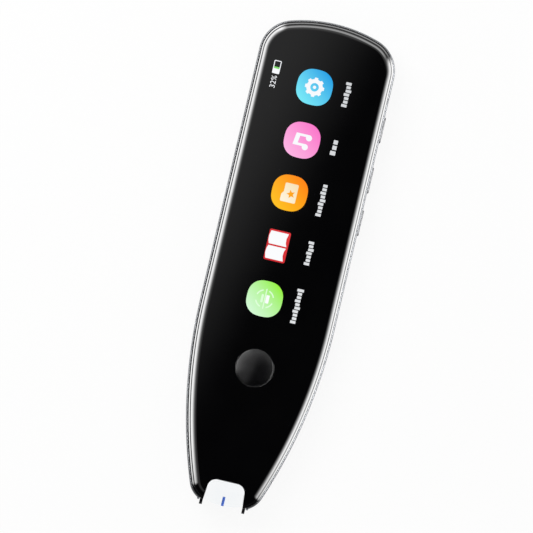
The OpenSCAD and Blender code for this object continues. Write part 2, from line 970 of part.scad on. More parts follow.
module microphone_boot() {
  color("#2a2a2a")
    difference() {
      box(
        [-mic_x + 0.05, mic_y - mic_len / 2, z_plate + mic_h],
        [-mic_x + 3, mic_y + mic_len / 2, z_rim]
      );
      translate([-mic_x - 1, mic_y, z_mic])
        rotate([0, 90, 0])
          cylinder(d = mic_hole_h, h = 3);
      translate([-mic_x + 1.9, mic_y, z_plate])
        cylinder(d = mic_hole_h, h = z_mic - z_plate);
    }
}

// ---------------------------------------------------------------- tip

guard_gap = 0.1;
guard_sag = 1.2;
y_guard = y_tip + 0.1;

module guard2d(hw, crown, r) {
  // The notch's shape, with a bulging lower edge
  low_x = arch_x(hw, crown, r, y_guard + guard_sag, notch_flare);
  sag_r = (low_x ^ 2 + guard_sag ^ 2) / (2 * guard_sag);
  sag_a = asin(low_x / sag_r);
  polygon(concat(
    arc(0, y_guard + sag_r, sag_r, -90 - sag_a, -90 + sag_a, 10),
    arc(hw - r, crown - r, r, notch_flare, 90, 8),
    arc(r - hw, crown - r, r, 90, 180 - notch_flare, 8)
  ));
}

module tip_guard() {
  hw = notch_w / 2 - guard_gap;
  crown = y_foot + notch_h - guard_gap;
  color("#f2f5f8")
    difference() {
      union() {
        along_z(z_guard, z_top - 0.12)
          guard2d(hw, crown, notch_r - guard_gap);
        box([-hw, crown - notch_r - 0.5, z_guard], [hw, y_tongue, z_rim]);
      }
      along_z(z_top - 0.12 - mark_t, z_top)
        mark2d();
    }
}

mark_w = 0.8;
mark_len = 2.8;
mark_t = 0.15;

module mark2d() {
  translate([-mark_w / 2, y_guard + 0.05])
    square([mark_w, mark_len]);
}

module aim_mark() {
  color("#3558b8")
    along_z(z_top - 0.12 - mark_t, z_top - 0.12)
      mark2d();
}

foot_r = 1.7;
foot_z = (z_trigger + z_trigger_top) / 2;

module trigger_frame() {
  color("#26272a") {
    difference() {
      intersection() {
        along_z(z_trigger, z_trigger_top)
          difference() {
            arch2d(leg_x, y_crown, arch_r, y_foot);
            arch2d(mouth_w / 2, y_crown - trigger_wall, arch_r - trigger_wall, y_foot - 1);
          }
        // Side view of the legs: full depth above, a round foot below
        along_x(-leg_x - 1, leg_x + 1) {
          polygon([
            [y_foot + 4, z_trigger], [y_crown + 1, z_trigger], [y_crown + 1, z_trigger_top],
            [y_foot + 4, z_trigger_top], [y_foot + 2.4, foot_z + foot_r],
            [y_foot + foot_r, foot_z + foot_r], [y_foot + foot_r, foot_z - foot_r],
            [y_foot + 2.4, foot_z - foot_r]
          ]);
          translate([y_foot + foot_r, foot_z])
            circle(r = foot_r);
        }
      }
      box([-view_x, y_crown - 3, view_z0], [view_x, y_crown + 1, view_z1]);
    }
    for (s = [-1, 1]) {
      box(
        [s * post_x - post_w / 2, y_crown - 0.8, lens_z - post_h / 2],
        [s * post_x + post_w / 2, y_head + eps, lens_z + post_h / 2]
      );
      box(
        [s * post_x - head_w / 2, y_head, lens_z - head_h / 2],
        [s * post_x + head_w / 2, y_head + head_t, lens_z + head_h / 2]
      );
    }
  }
}

// A round wire swept along a helix about Y
module trigger_spring() {
  y0 = y_head + head_t + spring_wire / 2;
  y1 = spring_y1 - spring_wire / 2;
  r = spring_r - spring_wire / 2;
  turns = 5;
  per_turn = 12;
  sides = 6;
  steps = turns * per_turn;
  function at(i) = [r * cos(360 * i / per_turn), y0 + (y1 - y0) * i / steps, r * sin(360 * i / per_turn)];
  function out(i) = [cos(360 * i / per_turn), 0, sin(360 * i / per_turn)];
  pts = [for (i = [0:steps]) for (k = [0:sides - 1])
    at(i) + spring_wire / 2 * (cos(360 * k / sides) * out(i) + [0, sin(360 * k / sides), 0])];
  color("#b0b3b6")
    translate([-post_x, 0, lens_z])
      polyhedron(
        points = pts,
        faces = concat(
          [[for (k = [sides - 1:-1:0]) k]],
          [for (i = [0:steps - 1]) for (k = [0:sides - 1])
            let (j = (k + 1) % sides)
            [i * sides + k, i * sides + j, (i + 1) * sides + j, (i + 1) * sides + k]],
          [[for (k = [0:sides - 1]) steps * sides + k]]
        )
      );
}

switch_w = 3;
switch_l = 2.6;
switch_h = 3.6;

module tip_switch() {
  color("#b8b8ba") {
    box(
      [post_x - switch_w / 2, y_strike + 0.3, lens_z - switch_h / 2],
      [post_x + switch_w / 2, y_strike + switch_l, lens_z + switch_h / 2]
    );
    translate([post_x, 0, lens_z])
      along_y(y_strike, y_strike + 0.3 + eps)
        circle(r = 0.7);
  }
}

module scan_housing() {
  color("#1b1b1d")
    difference() {
      union() {
        box([-scan_x, y_scan, z_floor], [scan_x, y_scan_back, z_scan_top]);
        translate([0, 0, lens_z])
          along_y(y_behind + 0.3, y_scan + eps)
            circle(r = nose_r);
        // Shelf for the lamps, above the nose
        box([-shelf_x, y_behind + 0.5, z_led], [shelf_x, y_scan + eps, z_scan_top]);
      }
      translate([0, 0, lens_z])
        along_y(y_behind - 1, y_scan_back + 1)
          circle(r = lens_r);
      translate([0, 0, lens_z])
        along_y(y_scan_back - sensor_t - 0.05, y_scan_back + 1)
          square(sensor_w + 0.2, center = true);
      box(
        [post_x - switch_w / 2 - gap, y_scan - 1, lens_z - switch_h / 2 - gap],
        [post_x + switch_w / 2 + gap, y_strike + switch_l + gap, lens_z + switch_h / 2 + gap]
      );
      translate([-post_x, 0, lens_z])
        along_y(y_scan - 1, spring_y1 + 0.05)
          circle(r = spring_r + 0.15);
      for (s = [-1, 1])
        translate([s * scan_screw_x, 0, scan_screw_z])
          along_y(y_scan_back - 2.4, y_scan_back + 1)
            circle(r = scan_screw_r + 0.02);
      box([-led_x - gap, y_scan - 6, z_led + 0.3], [led_x + gap, y_led_back, z_scan_top + 1]);
    }
}

z_led = lens_z + nose_r;
led_x = 2.6;
shelf_x = led_x + 0.4;
y_led_back = y_scan + 0.6;
scan_screw_r = 0.6;
scan_screw_x = scan_x - 1.9;
scan_screw_z = z_floor + 1.6;

module scan_window() {
  color("#aab4c0")
    translate([0, 0, lens_z])
      along_y(y_behind + 0.05, y_behind + 0.3)
        circle(r = nose_r - 0.1);
}

module scan_lens() {
  color("#30343c")
    translate([0, 0, lens_z])
      difference() {
        along_y(y_behind + 1, y_scan_back - sensor_t - 1.5)
          circle(r = lens_r - 0.03);
        translate([0, y_behind + 1 - 2.6, 0])
          sphere(r = 3.2, $fn = 96);
      }
}

module scan_sensor() {
  color("#3a3f46")
    translate([0, 0, lens_z])
      along_y(y_scan_back - sensor_t, y_scan_back)
        square(sensor_w, center = true);
}

module scan_board() {
  color("#1f5a3c")
    difference() {
      box([-scan_x, y_scan_back, z_floor + 0.3], [scan_x, y_scan_board, z_scan_top - 0.3]);
      for (s = [-1, 1])
        translate([s * scan_screw_x, 0, scan_screw_z])
          along_y(y_scan_back - 1, y_scan_board + 1)
            circle(r = scan_screw_r + 0.1);
    }
}

module scan_screws() {
  color("#9a9da0")
    for (s = [-1, 1])
      translate([s * scan_screw_x, 0, scan_screw_z]) {
        along_y(y_scan_back - 2.2, y_scan_board + eps)
          circle(r = scan_screw_r);
        along_y(y_scan_board, y_scan_board + 0.6)
          circle(r = 1.1);
      }
}

module scan_leds() {
  color("#f4f1d8")
    for (s = [-1, 1])
      box(
        [s * 1.4 - 0.8, y_led_back - 0.7, z_led + 0.3],
        [s * 1.4 + 0.8, y_led_back, z_led + 1.3]
      );
}

module light_diffuser() {
  color("#eef0f2")
    box([-led_x, y_behind + 0.7, z_led + 0.3], [led_x, y_led_back - 0.75, z_led + 1.2]);
}

module scan_flex() {
  color("#c77b2a") {
    box([-3, y_scan_board, lens_z], [3, y_scan_board + flex_t, z_board]);
    box([-3, y_scan_board, z_flex], [3, y_main0 + 2.2, z_board]);
  }
}

// ---------------------------------------------------------------- nodes

front_glass();
glass_adhesive();
mid_frame();
rear_cover();
home_button();
home_key_pad();
home_switch();
side_key(keys_y[0]);  // power_button
side_key(keys_y[1]);  // volume_up_button
side_key(keys_y[2]);  // volume_down_button
side_key_board();
side_key_bracket();
side_switches();
display_panel();
backlight();
display_tape();
display_flex();
main_board();
processor();
memory_chip();
shield_can();
wireless_module();
power_chip();
board_connectors();
board_screws();
top_board();
link_flex();
usb_port();
usb_tongue();
battery();
battery_tape();
battery_lead();
camera_ring();
camera_lens();
camera_module();
camera_pad();
speaker();
speaker_gasket();
speaker_mesh();
speaker_contacts();
microphone();
microphone_boot();
antenna();
tip_guard();
aim_mark();
trigger_frame();
trigger_spring();
tip_switch();
scan_housing();
scan_window();
scan_lens();
scan_sensor();
scan_board();
scan_screws();
scan_leds();
light_diffuser();
scan_flex();
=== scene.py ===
import math

import bmesh
import bpy
from mathutils import Matrix, Vector


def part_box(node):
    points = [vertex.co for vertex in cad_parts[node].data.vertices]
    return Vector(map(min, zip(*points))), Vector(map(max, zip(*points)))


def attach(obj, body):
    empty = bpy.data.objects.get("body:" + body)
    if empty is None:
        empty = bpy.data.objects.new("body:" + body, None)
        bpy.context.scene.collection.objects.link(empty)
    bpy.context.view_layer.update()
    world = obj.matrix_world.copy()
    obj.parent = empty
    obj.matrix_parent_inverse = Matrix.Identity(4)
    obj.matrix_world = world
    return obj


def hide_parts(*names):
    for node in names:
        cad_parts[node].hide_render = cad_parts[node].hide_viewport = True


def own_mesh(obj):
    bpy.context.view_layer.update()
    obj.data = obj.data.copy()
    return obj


bl_info = {
    "name": "Handheld translator",
    "version": (1, 0, 0),
    "blender": (4, 5, 0),
    "location": "3D View > Sidebar > Translator",
    "description": "Builds the visible surfaces of a scanning translator pen around its packed frame",
    "category": "Object",
}

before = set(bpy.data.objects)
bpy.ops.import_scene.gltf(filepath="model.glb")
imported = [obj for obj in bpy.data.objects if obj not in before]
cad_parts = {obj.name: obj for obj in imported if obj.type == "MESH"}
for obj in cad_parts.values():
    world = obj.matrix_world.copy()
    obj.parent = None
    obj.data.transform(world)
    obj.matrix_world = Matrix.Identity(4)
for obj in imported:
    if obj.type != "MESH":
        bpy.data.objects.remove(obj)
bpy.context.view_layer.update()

MM = 0.001


def corners(node):
    """Lowest and highest corner of a CAD node in millimetres."""
    low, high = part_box(node)
    return low / MM, high / MM


# ---- sizes, in millimetres

GLASS_LOW, GLASS_HIGH = corners("front_glass")
TRIGGER_LOW, TRIGGER_HIGH = corners("trigger_frame")
SHELL_HIGH = corners("rear_cover")[1]
FRAME_HIGH = corners("mid_frame")[1]
PANEL_LOW = corners("display_panel")[0]
RING_HIGH = corners("camera_ring")[1]
HOUSING_LOW = corners("scan_housing")[0]

Z_BACK = 0.8  # rear face
Z_SEAM = SHELL_HIGH.z  # where the rear cover ends and the frame's band starts
Z_RIM = FRAME_HIGH.z
Z_GLASS = GLASS_LOW.z
WALL = 1.3  # of the rear cover
BACK_IN, BACK_UP = 5.0, 3.6  # how far the rear edge's rounding reaches in and up
SEAM_IN, SEAM_UP = 0.45, 2.0  # how far its upper edge's rounding reaches in and down
BAND_IN = 0.5  # the frame's step from the side
BAND_CROWN = (  # how its top falls off: inset, drop
    (0.50, 0.418), (0.56, 0.314), (0.64, 0.232), (0.72, 0.176), (0.80, 0.137), (0.90, 0.099),
    (1.02, 0.063), (1.14, 0.032), (1.24, 0.011), (1.32, 0.0),
)
GLASS_IN = SHELL_HIGH.x - GLASS_HIGH.x
GAP = 0.1  # between parts that fit into each other
FRAME_WALL = 1.0
BRIDGE = 4.6  # how far the frame's bridge behind the scan head reaches past the channel
SKIRT_LOW, PLATE_TOP = 8.65, 9.45  # the frame's skirt, and the plate that carries the display
LAYER = 0.015  # thickness of a layer of the screen's picture
Z_SCREEN = GLASS_HIGH.z - 4 * LAYER  # the glass's face, which leaves room for four layers

# The outline seen from the front: every arc is tangent to the next one
HALF_W = SHELL_HIGH.x
Y_END = SHELL_HIGH.y
Y_FOOT = TRIGGER_LOW.y
Y_TIP = Y_FOOT + 1.0
TIP_R, CORNER_R, END_R = 7.0, 10.5, 45.0
TIP_X, TIP_Y = 4.5, Y_TIP + TIP_R
TAPER_Y = Y_FOOT + 60.0
TAPER_DX, TAPER_DY = HALF_W - TIP_X, TAPER_Y - TIP_Y
TAPER_R = (TAPER_DX ** 2 + TAPER_DY ** 2 - TIP_R ** 2) / (2 * (TAPER_DX - TIP_R))
TAPER_X = HALF_W - TAPER_R
TIP_TURN = 90 + math.degrees(math.atan2(TIP_Y - TAPER_Y, TIP_X - TAPER_X))
CORNER_X = HALF_W - CORNER_R
END_Y = Y_END - END_R
CORNER_Y = END_Y + math.sqrt((END_R - CORNER_R) ** 2 - CORNER_X ** 2)
CORNER_TURN = math.degrees(math.atan2(CORNER_Y - END_Y, CORNER_X))

# Tip
NOTCH_HALF, NOTCH_CROWN, NOTCH_R, NOTCH_FLARE = 5.7, Y_FOOT + 8.6, 2.7, 5.0
LEG_X, MOUTH_X, ARCH_R = 7.0, 6.1, 3.6  # the trigger frame's arch: outside, inside, rounding
TRIGGER_CROWN = Y_FOOT + 9.5
SLIDE_GAP = 0.15
CHANNEL_X, CHANNEL_CROWN = LEG_X + SLIDE_GAP, Y_FOOT + 10.45
CHANNEL_WALL = 0.8
Z_GUARD, Z_GUARD_TOP = 10.9, 12.88
TONGUE = 2.0  # how far the guard reaches under the glass
LENS_Z = 5.6  # height of the scan head's axis
POST_X, POST_HALF_X, POST_HALF_Z = 4.7, 0.8, 1.0  # the trigger's two posts
VIEW_X, VIEW_LOW, VIEW_TOP = 3.4, 2.6, 9.6  # what the sensor looks through

# Keys, camera, speaker, sockets
HOME_Y, HOME_R, HOME_DOME = -31.2, 5.6, 0.35  # place, radius, height of the curve
HOME_DOME_TOP = 3.4  # inner radius of the silicone dome where it meets the key
KEYS_Y = (47.0, 31.5, 18.3)
KEY_Z = 6.525
KEY_LEN, KEY_H = 8.0, 2.0
CAMERA_Y, CAMERA_BORE = 65.0, 2.9
SPEAKER_Y, SPEAKER_HOLE_R = 50.5, 0.5
PORT_Z, PORT_LEN, PORT_H = 6.07, 9.24, 3.46
MIC_Y, MIC_Z, MIC_LEN, MIC_H = -24.6, 11.1, 1.6, 0.6


# ---- drawing and modelling

CUT, ADD = "DIFFERENCE", "UNION"


def polar(radius, degrees, x=0.0, y=0.0):
    """The point on a circle about (x, y) at an angle."""
    a = math.radians(degrees)
    return x + radius * math.cos(a), y + radius * math.sin(a)


def verts_of(made):
    return [item for item in made if isinstance(item, bmesh.types.BMVert)]


def placed(name, data):
    """A new object in the scene."""
    made = bpy.data.objects.new(name, data)
    bpy.context.scene.collection.objects.link(made)
    return made


def mesh_of(name, bm):
    """Turns a bmesh into a mesh and frees it."""
    mesh = bpy.data.meshes.new(name)
    bm.to_mesh(mesh)
    bm.free()
    return mesh


def spin(bm, geom, centre, angle, steps, merge=False):
    """Sweeps points and edges about Z and returns what stands at the end."""
    return bmesh.ops.spin(
        bm, geom=geom, cent=centre, axis=(0, 0, 1), dvec=(0, 0, 0), angle=angle, steps=steps,
        use_merge=merge, use_normal_flip=False, use_duplicate=False, space=Matrix(),
    )["geom_last"]


def draw(bm, start, strokes, z=0.0):
    """Draws a closed line and fills it. A stroke is (x, y), or (centre x, centre y, degrees, steps)."""
    first = last = bm.verts.new((start[0], start[1], z))
    for stroke in strokes:
        if len(stroke) == 2:
            last = bmesh.ops.extrude_vert_indiv(bm, verts=[last])["verts"][0]
            last.co.xy = stroke
            continue
        x, y, degrees, steps = stroke
        last = verts_of(spin(bm, [last], (x, y, z), math.radians(degrees), steps))[0]
    if (last.co - first.co).length > 1e-4:
        bm.edges.new((last, first))
    ends = [vert for vert in bm.verts if not vert.link_faces]
    bmesh.ops.remove_doubles(bm, verts=ends, dist=1e-4)
    loose = [edge for edge in bm.edges if not edge.link_faces]
    return bmesh.ops.contextual_create(bm, geom=loose)["faces"]


def outward(bm):
    bmesh.ops.recalc_face_normals(bm, faces=bm.faces[:])


def lift(bm, faces, height):
    """Extrudes flat faces upwards into a closed solid."""
    made = bmesh.ops.extrude_face_region(bm, geom=faces)["geom"]
    bmesh.ops.translate(bm, vec=(0, 0, height), verts=verts_of(made))
    outward(bm)


def prism(path, z0, z1):
    """A solid between two levels with the drawn path as its plan."""
    bm = bmesh.new()
    lift(bm, draw(bm, path[0], path[1], z0), z1 - z0)
    return bm


def loft(levels):
    """A solid through the pen's outline at several levels, each given as (z, inset)."""
    bm = bmesh.new()
    plates = [draw(bm, *body_plan(inset), z)[0] for z, inset in levels]
    rings = [list(plate.edges) for plate in plates]
    bmesh.ops.delete(bm, geom=plates[1:-1], context="FACES_ONLY")
    for low, high in zip(rings, rings[1:]):
        bmesh.ops.bridge_loops(bm, edges=low + high)
    outward(bm)
    return bm


def round_edge(z, inset, width, radius, steps):
    """Levels of an edge that a round takes off over a width, from the side to the top at z."""
    return [
        (z - radius + math.sqrt(radius ** 2 - (width * k / steps) ** 2), inset + width - width * k / steps)
        for k in range(steps, -1, -1)
    ]


def ease(bm, edges, width, segments, rise=None):
    """Rounds edges: width is measured in plan, rise along Z."""
    stretch = width / (rise or width)
    bmesh.ops.scale(bm, vec=(1, 1, stretch), verts=bm.verts[:])
    bmesh.ops.bevel(
        bm, geom=edges, offset=width, offset_type="OFFSET", segments=segments, profile=0.5,
        affect="EDGES", clamp_overlap=True, material=-1,
    )
    bmesh.ops.scale(bm, vec=(1, 1, 1 / stretch), verts=bm.verts[:])


def rim(bm, z):
    """The sharp edges that lie at one level."""
    return [
        edge for edge in bm.edges
        if all(abs(vert.co.z - z) < 1e-3 for vert in edge.verts)
        and len(edge.link_faces) == 2 and edge.calc_face_angle() > math.radians(40)
    ]


def sharp_edges(bm, low=(-99, -99, -99), high=(99, 99, 99), least=50):
    """The sharp edges whose middle lies between two corners."""
    found = []
    for edge in bm.edges:
        if len(edge.link_faces) != 2 or edge.calc_face_angle() < math.radians(least):
            continue
        middle = (edge.verts[0].co + edge.verts[1].co) / 2
        if all(low[k] <= middle[k] <= high[k] for k in range(3)):
            found.append(edge)
    return found


def soften(bm, low, high, width, segments=3):
    """Rounds the sharp edges between two corners."""
    ease(bm, sharp_edges(bm, low, high), width, segments)


def turned(bm, matrix):
    bmesh.ops.transform(bm, matrix=matrix, verts=bm.verts[:])
    return bm


def moved(bm, x=0.0, y=0.0, z=0.0):
    bmesh.ops.translate(bm, vec=(x, y, z), verts=bm.verts[:])
    return bm


# Stands a plan up: ALONG_X looks at it from +X, ALONG_Y from -Y
ALONG_X = Matrix(((0, 0, 1, 0), (1, 0, 0, 0), (0, 1, 0, 0), (0, 0, 0, 1)))
ALONG_Y = Matrix.Rotation(math.radians(90), 4, "X")


def lathe(profile, y, steps=96):
    """Spins a closed profile of (radius, height) points round an upright axis on the pen's middle line."""
    bm = bmesh.new()
    points = [bm.verts.new((r, 0, z)) for r, z in profile]
    edges = [bm.edges.new(pair) for pair in zip(points, points[1:])]
    edges.append(bm.edges.new((points[-1], points[0])))
    spin(bm, points + edges, (0, 0, 0), math.tau, steps, merge=True)
    bmesh.ops.remove_doubles(bm, verts=bm.verts[:], dist=1e-4)
    outward(bm)
    return moved(bm, 0, y)


def quarter(r, z, radius, first, last):
    """Profile points on an arc about (r, z), from one angle to another."""
    return [polar(radius, first + (last - first) * k / 5, r, z) for k in range(6)]


def disc(radius, z0, z1, x=0.0, y=0.0, steps=48):
    bm = prism(((radius, 0), [(0, 0, 360, steps)]), z0, z1)
    return moved(bm, x, y)


def block(low, high, round_by=0.0):
    (x0, y0, z0), (x1, y1, z1) = low, high
    bm = prism(((x0, y0), [(x1, y0), (x1, y1), (x0, y1)]), z0, z1)
    if round_by:
        ease(bm, bm.edges[:], round_by, 2)
    return bm


def join(*parts):
    """Puts several solids in one mesh without merging them."""
    whole = bmesh.new()
    for part in parts:
        mesh = mesh_of("part", part)
        whole.from_mesh(mesh)
        bpy.data.meshes.remove(mesh)
    return whole


def shape(target, *steps):
    """Works on a solid with other solids by the exact solver. A step is (operation, tool)."""
    made = [placed("step", mesh_of("step", bm)) for bm in [target] + [tool for _, tool in steps]]
    for (operation, _), tool in zip(steps, made[1:]):
        modifier = made[0].modifiers.new("step", "BOOLEAN")
        modifier.operation = operation
        modifier.solver = "EXACT"
        modifier.object = tool
    result = bmesh.new()
    result.from_object(made[0], bpy.context.evaluated_depsgraph_get())
    for item in made:
        mesh = item.data
        bpy.data.objects.remove(item)
        bpy.data.meshes.remove(mesh)
    bmesh.ops.remove_doubles(result, verts=result.verts[:], dist=1e-5)
    bmesh.ops.dissolve_degenerate(result, edges=result.edges[:], dist=1e-5)
    return result


def piece(name, bm, finish, body="handset", replaces=()):
    """Turns a solid in millimetres into a finished piece that rides on a body."""
    bmesh.ops.scale(bm, vec=(MM, MM, MM), verts=bm.verts[:])
    mesh = mesh_of(name, bm)
    mesh.polygons.foreach_set("use_smooth", [True] * len(mesh.polygons))
    mesh.set_sharp_from_angle(angle=math.radians(32))
    mesh.materials.append(material(finish))
    made = placed(name, mesh)
    level = made.modifiers.new("Weighted normals", "WEIGHTED_NORMAL")
    level.keep_sharp = True
    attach(made, body)
    if replaces:
        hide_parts(*replaces)
    return made


# ---- plans

def body_plan(inset):
    """The pen's outline, drawn in from the side by an inset."""
    x = HALF_W - inset
    return (TIP_X, Y_TIP + inset), [
        (TIP_X, TIP_Y, TIP_TURN, 24),
        (TAPER_X, TAPER_Y, 90 - TIP_TURN, 28),
        (x, CORNER_Y),
        (CORNER_X, CORNER_Y, CORNER_TURN, 24),
        (0, END_Y, 2 * (90 - CORNER_TURN), 24),
        (-CORNER_X, CORNER_Y, CORNER_TURN, 24),
        (-x, TAPER_Y),
        (-TAPER_X, TAPER_Y, 90 - TIP_TURN, 28),
        (-TIP_X, TIP_Y, TIP_TURN, 24),
    ]


def arch_side(half, crown, radius, low, flare):
    """Where a side of an arch that spreads by an angle leaves its corner, and where it reaches a level."""
    x, y = polar(radius, flare, half - radius, crown - radius)
    return x, y, x + (y - low) * math.tan(math.radians(flare))


def arch_plan(half, crown, radius, low, flare=0.0):
    """A round-cornered arch that is open towards the tip."""
    x, y, foot = arch_side(half, crown, radius, low, flare)
    return (foot, low), [
        (x, y), (half - radius, crown - radius, 90 - flare, 14), (radius - half, crown),
        (radius - half, crown - radius, 90 - flare, 14), (-foot, low),
    ]


def notch_plan():
    return arch_plan(NOTCH_HALF, NOTCH_CROWN, NOTCH_R, Y_FOOT - 5, NOTCH_FLARE)


def obround_plan(length, height, steps=10):
    a, h = (length - height) / 2, height / 2
    return (a, -h), [(a, 0, 180, steps), (-a, h), (-a, 0, 180, steps)]


def round_plan(low, high, radius, steps=6):
    """A rectangle with round corners between two corners."""
    (x0, y0), (x1, y1), r = low, high, radius
    return (x1 - r, y0), [
        (x1 - r, y0 + r, 90, steps), (x1, y1 - r), (x1 - r, y1 - r, 90, steps),
        (x0 + r, y1), (x0 + r, y1 - r, 90, steps), (x0, y0 + r),
        (x0 + r, y0 + r, 90, steps),
    ]


# ---- materials

def linear(code):
    """An sRGB hex colour as linear red, green, blue and alpha."""
    parts = [int(code[k:k + 2], 16) / 255 for k in (1, 3, 5)]
    return tuple(c / 12.92 if c <= 0.04045 else ((c + 0.055) / 1.055) ** 2.4 for c in parts) + (1.0,)


def node(tree, kind, sockets=None, **settings):
    """Adds a shader node, sets its properties, and fills its sockets with values or links."""
    made = tree.nodes.new("ShaderNode" + kind)
    for key, value in settings.items():
        setattr(made, key, value)
    for key, value in (sockets or {}).items():
        socket = made.inputs[key]
        if isinstance(value, bpy.types.NodeSocket):
            tree.links.new(value, socket)
        else:
            socket.default_value = value
    return made


def blend(tree, share, low, high):
    """A colour between two."""
    return node(tree, "Mix", {0: share, 6: low, 7: high}, data_type="RGBA").outputs[2]


def surface(dark, light, grain, rough, relief=0.0, pattern="Noise", stretch=(1, 1, 1), **sockets):
    """What a surface is made of: its two colours, the real size of its pattern in millimetres, its range
    of roughness, the height of its bumps in millimetres, and sockets of the shader by name."""
    return {
        "dark": dark, "light": light, "scale": [side / (grain * MM) for side in stretch], "rough": rough,
        "relief": relief * MM, "pattern": pattern,
        "sockets": {name.replace("_", " "): value for name, value in sockets.items()},
    }


FINISHES = {
    # Aluminosilicate glass, polished and printed black on its back: deep black, a clear
    # mirror at low angles, and a faint film from handling that softens the gloss in patches
    "glass_polished_back_printed": surface("#030304", "#070708", 16, (0.015, 0.035), IOR=1.52),
    # PC/ABS, moulded in a polished tool: piano black with a slight ripple
    "pc_abs_moulded_gloss_black": surface("#08090a", "#0d0e10", 3, (0.05, 0.1), 0.0015, IOR=1.57),
    # ABS, sprayed with a metallic paint: fine aluminium flake under a satin lacquer. The
    # flake is 0.05 mm across and is drawn at 0.3 mm, so that it shows
    "abs_metallic_paint_gunmetal": surface(
        "#696b6f", "#727478", 0.3, (0.18, 0.22), pattern="Voronoi",
        Metallic=0.6, Coat_Weight=0.4, Coat_Roughness=0.08),
    # PC with a low-gloss clear hard coat that has hazed a little from use: black
    "pc_moulded_gloss_black": surface("#040405", "#070708", 2, (0.13, 0.15), IOR=1.46),
    # PC/ABS, spark-eroded tool: fine even texture that breaks the gloss
    "pc_abs_eroded_grey": surface("#3a3b3e", "#434548", 0.25, (0.38, 0.48), 0.006, IOR=1.57),
    # Aluminium, turned and anodised black: fine turning lines under a dark satin
    "aluminium_turned_anodised": surface(
        "#131416", "#1e1f22", 0.2, (0.14, 0.24), stretch=(1, 1, 6), Metallic=1.0),
    # Cover glass of the camera: smoked, so that the barrel behind it stays dark
    "optical_glass_smoked": surface(
        "#3c456e", "#4c5580", 2, (0.0, 0.01), IOR=1.5, Transmission_Weight=1.0),
    # Optical glass with an antireflective coating
    "optical_glass_coated": surface(
        "#dfe8ff", "#f2f5ff", 2, (0.0, 0.01), IOR=1.6, Transmission_Weight=1.0),
    # The camera's second lens: its violet-blue coating shows against the black barrel
    "optical_glass_blue_coating": surface(
        "#04071c", "#0a1850", 1.6, (0.02, 0.05), IOR=1.5, Coat_Weight=0.2, Coat_Roughness=0.02),
    # Polycarbonate, moulded clear in a polished tool
    "pc_moulded_clear": surface("#f4f8fb", "#ffffff", 5, (0.02, 0.05), IOR=1.58, Transmission_Weight=1.0),
    # Pad-printed ink in a recess of the guard: dense, slightly uneven blue
    "ink_pad_printed_blue": surface("#284c9e", "#3158aa", 0.4, (0.35, 0.5), IOR=1.5),
    # POM, moulded: a slippery, slightly waxy black
    "pom_moulded_black": surface("#121315", "#1c1d20", 1.2, (0.14, 0.22), 0.002, IOR=1.48),
    # Stainless steel sheet, bright rolled: faint lines along the coil
    "steel_rolled": surface("#a4a7aa", "#c2c4c6", 0.5, (0.22, 0.36), stretch=(1, 0.08, 1), Metallic=1.0),
    # Spring steel wire, drawn: faint lines along the wire
    "steel_wire_drawn": surface("#85888b", "#a3a6a9", 0.2, (0.22, 0.34), stretch=(1, 0.3, 1), Metallic=1.0),
    # Woven steel wire blackened against reflections, 0.2 mm between the wires
    "steel_mesh_blackened": surface(
        "#0a0a0b", "#55575a", 0.2, (0.35, 0.6), 0.05, pattern="Voronoi", Metallic=0.9),
    # FR4 laminate under green solder resist: glass weave of 0.5 mm showing through
    "fr4_green_resist": surface(
        "#12442c", "#1f6a45", 0.5, (0.25, 0.4), pattern="Brick", Coat_Weight=0.4, Coat_Roughness=0.2),
    # Epoxy mould compound: matt black with a fine stipple
    "epoxy_moulded_black": surface("#1c1d1f", "#2b2c2f", 0.15, (0.5, 0.65), 0.006),
    # Polyimide flex: amber film over copper tracks 0.4 mm apart
    "polyimide_amber": surface("#9a5a16", "#d08a34", 0.4, (0.25, 0.4), pattern="Wave", Coat_Weight=0.5),
    # Aluminium laminate pouch of the cell: dull silver with soft wrinkles
    "aluminium_laminate_pouch": surface("#9a9da0", "#bfc2c5", 3, (0.3, 0.45), 0.05, Metallic=0.9),
    # Liquid crystal panel: black glass with a faint blue cast
    "lcd_glass": surface("#07080c", "#10131b", 8, (0.04, 0.1), IOR=1.52),
    # Light guide and reflector sheets: milky white
    "pmma_light_guide": surface(
        "#dcdcd6", "#efefe9", 2, (0.3, 0.45), Subsurface_Weight=0.2, Subsurface_Scale=0.001),
    # Silicone rubber, moulded: matt, a little translucent
    "silicone_moulded": surface(
        "#bcbdbc", "#d2d3d2", 0.6, (0.55, 0.7), 0.004, Subsurface_Weight=0.15, Subsurface_Scale=0.001),
    # Nitrile foam and rubber: open black cells
    "rubber_foam_black": surface("#161616", "#262626", 0.35, (0.75, 0.9), 0.03, pattern="Voronoi"),
    # Acrylic foam tape
    "acrylic_tape_black": surface("#1b1b1b", "#2a2a2a", 0.8, (0.6, 0.75), 0.01),
    # Phosphor bronze with a thin gold plate
    "bronze_gold_plated": surface("#b98f3a", "#dcb963", 0.6, (0.18, 0.3), Metallic=1.0),
    # Glass-filled nylon: dull black with short fibres in the skin
    "pa_glass_filled_black": surface("#17181a", "#27282b", 0.5, (0.45, 0.6), 0.008, stretch=(1, 0.3, 1)),
}


def new_material(name):
    """An empty material and its node tree."""
    made = bpy.data.materials.new(name)
    made.use_nodes = True
    made.node_tree.nodes.clear()
    return made, made.node_tree


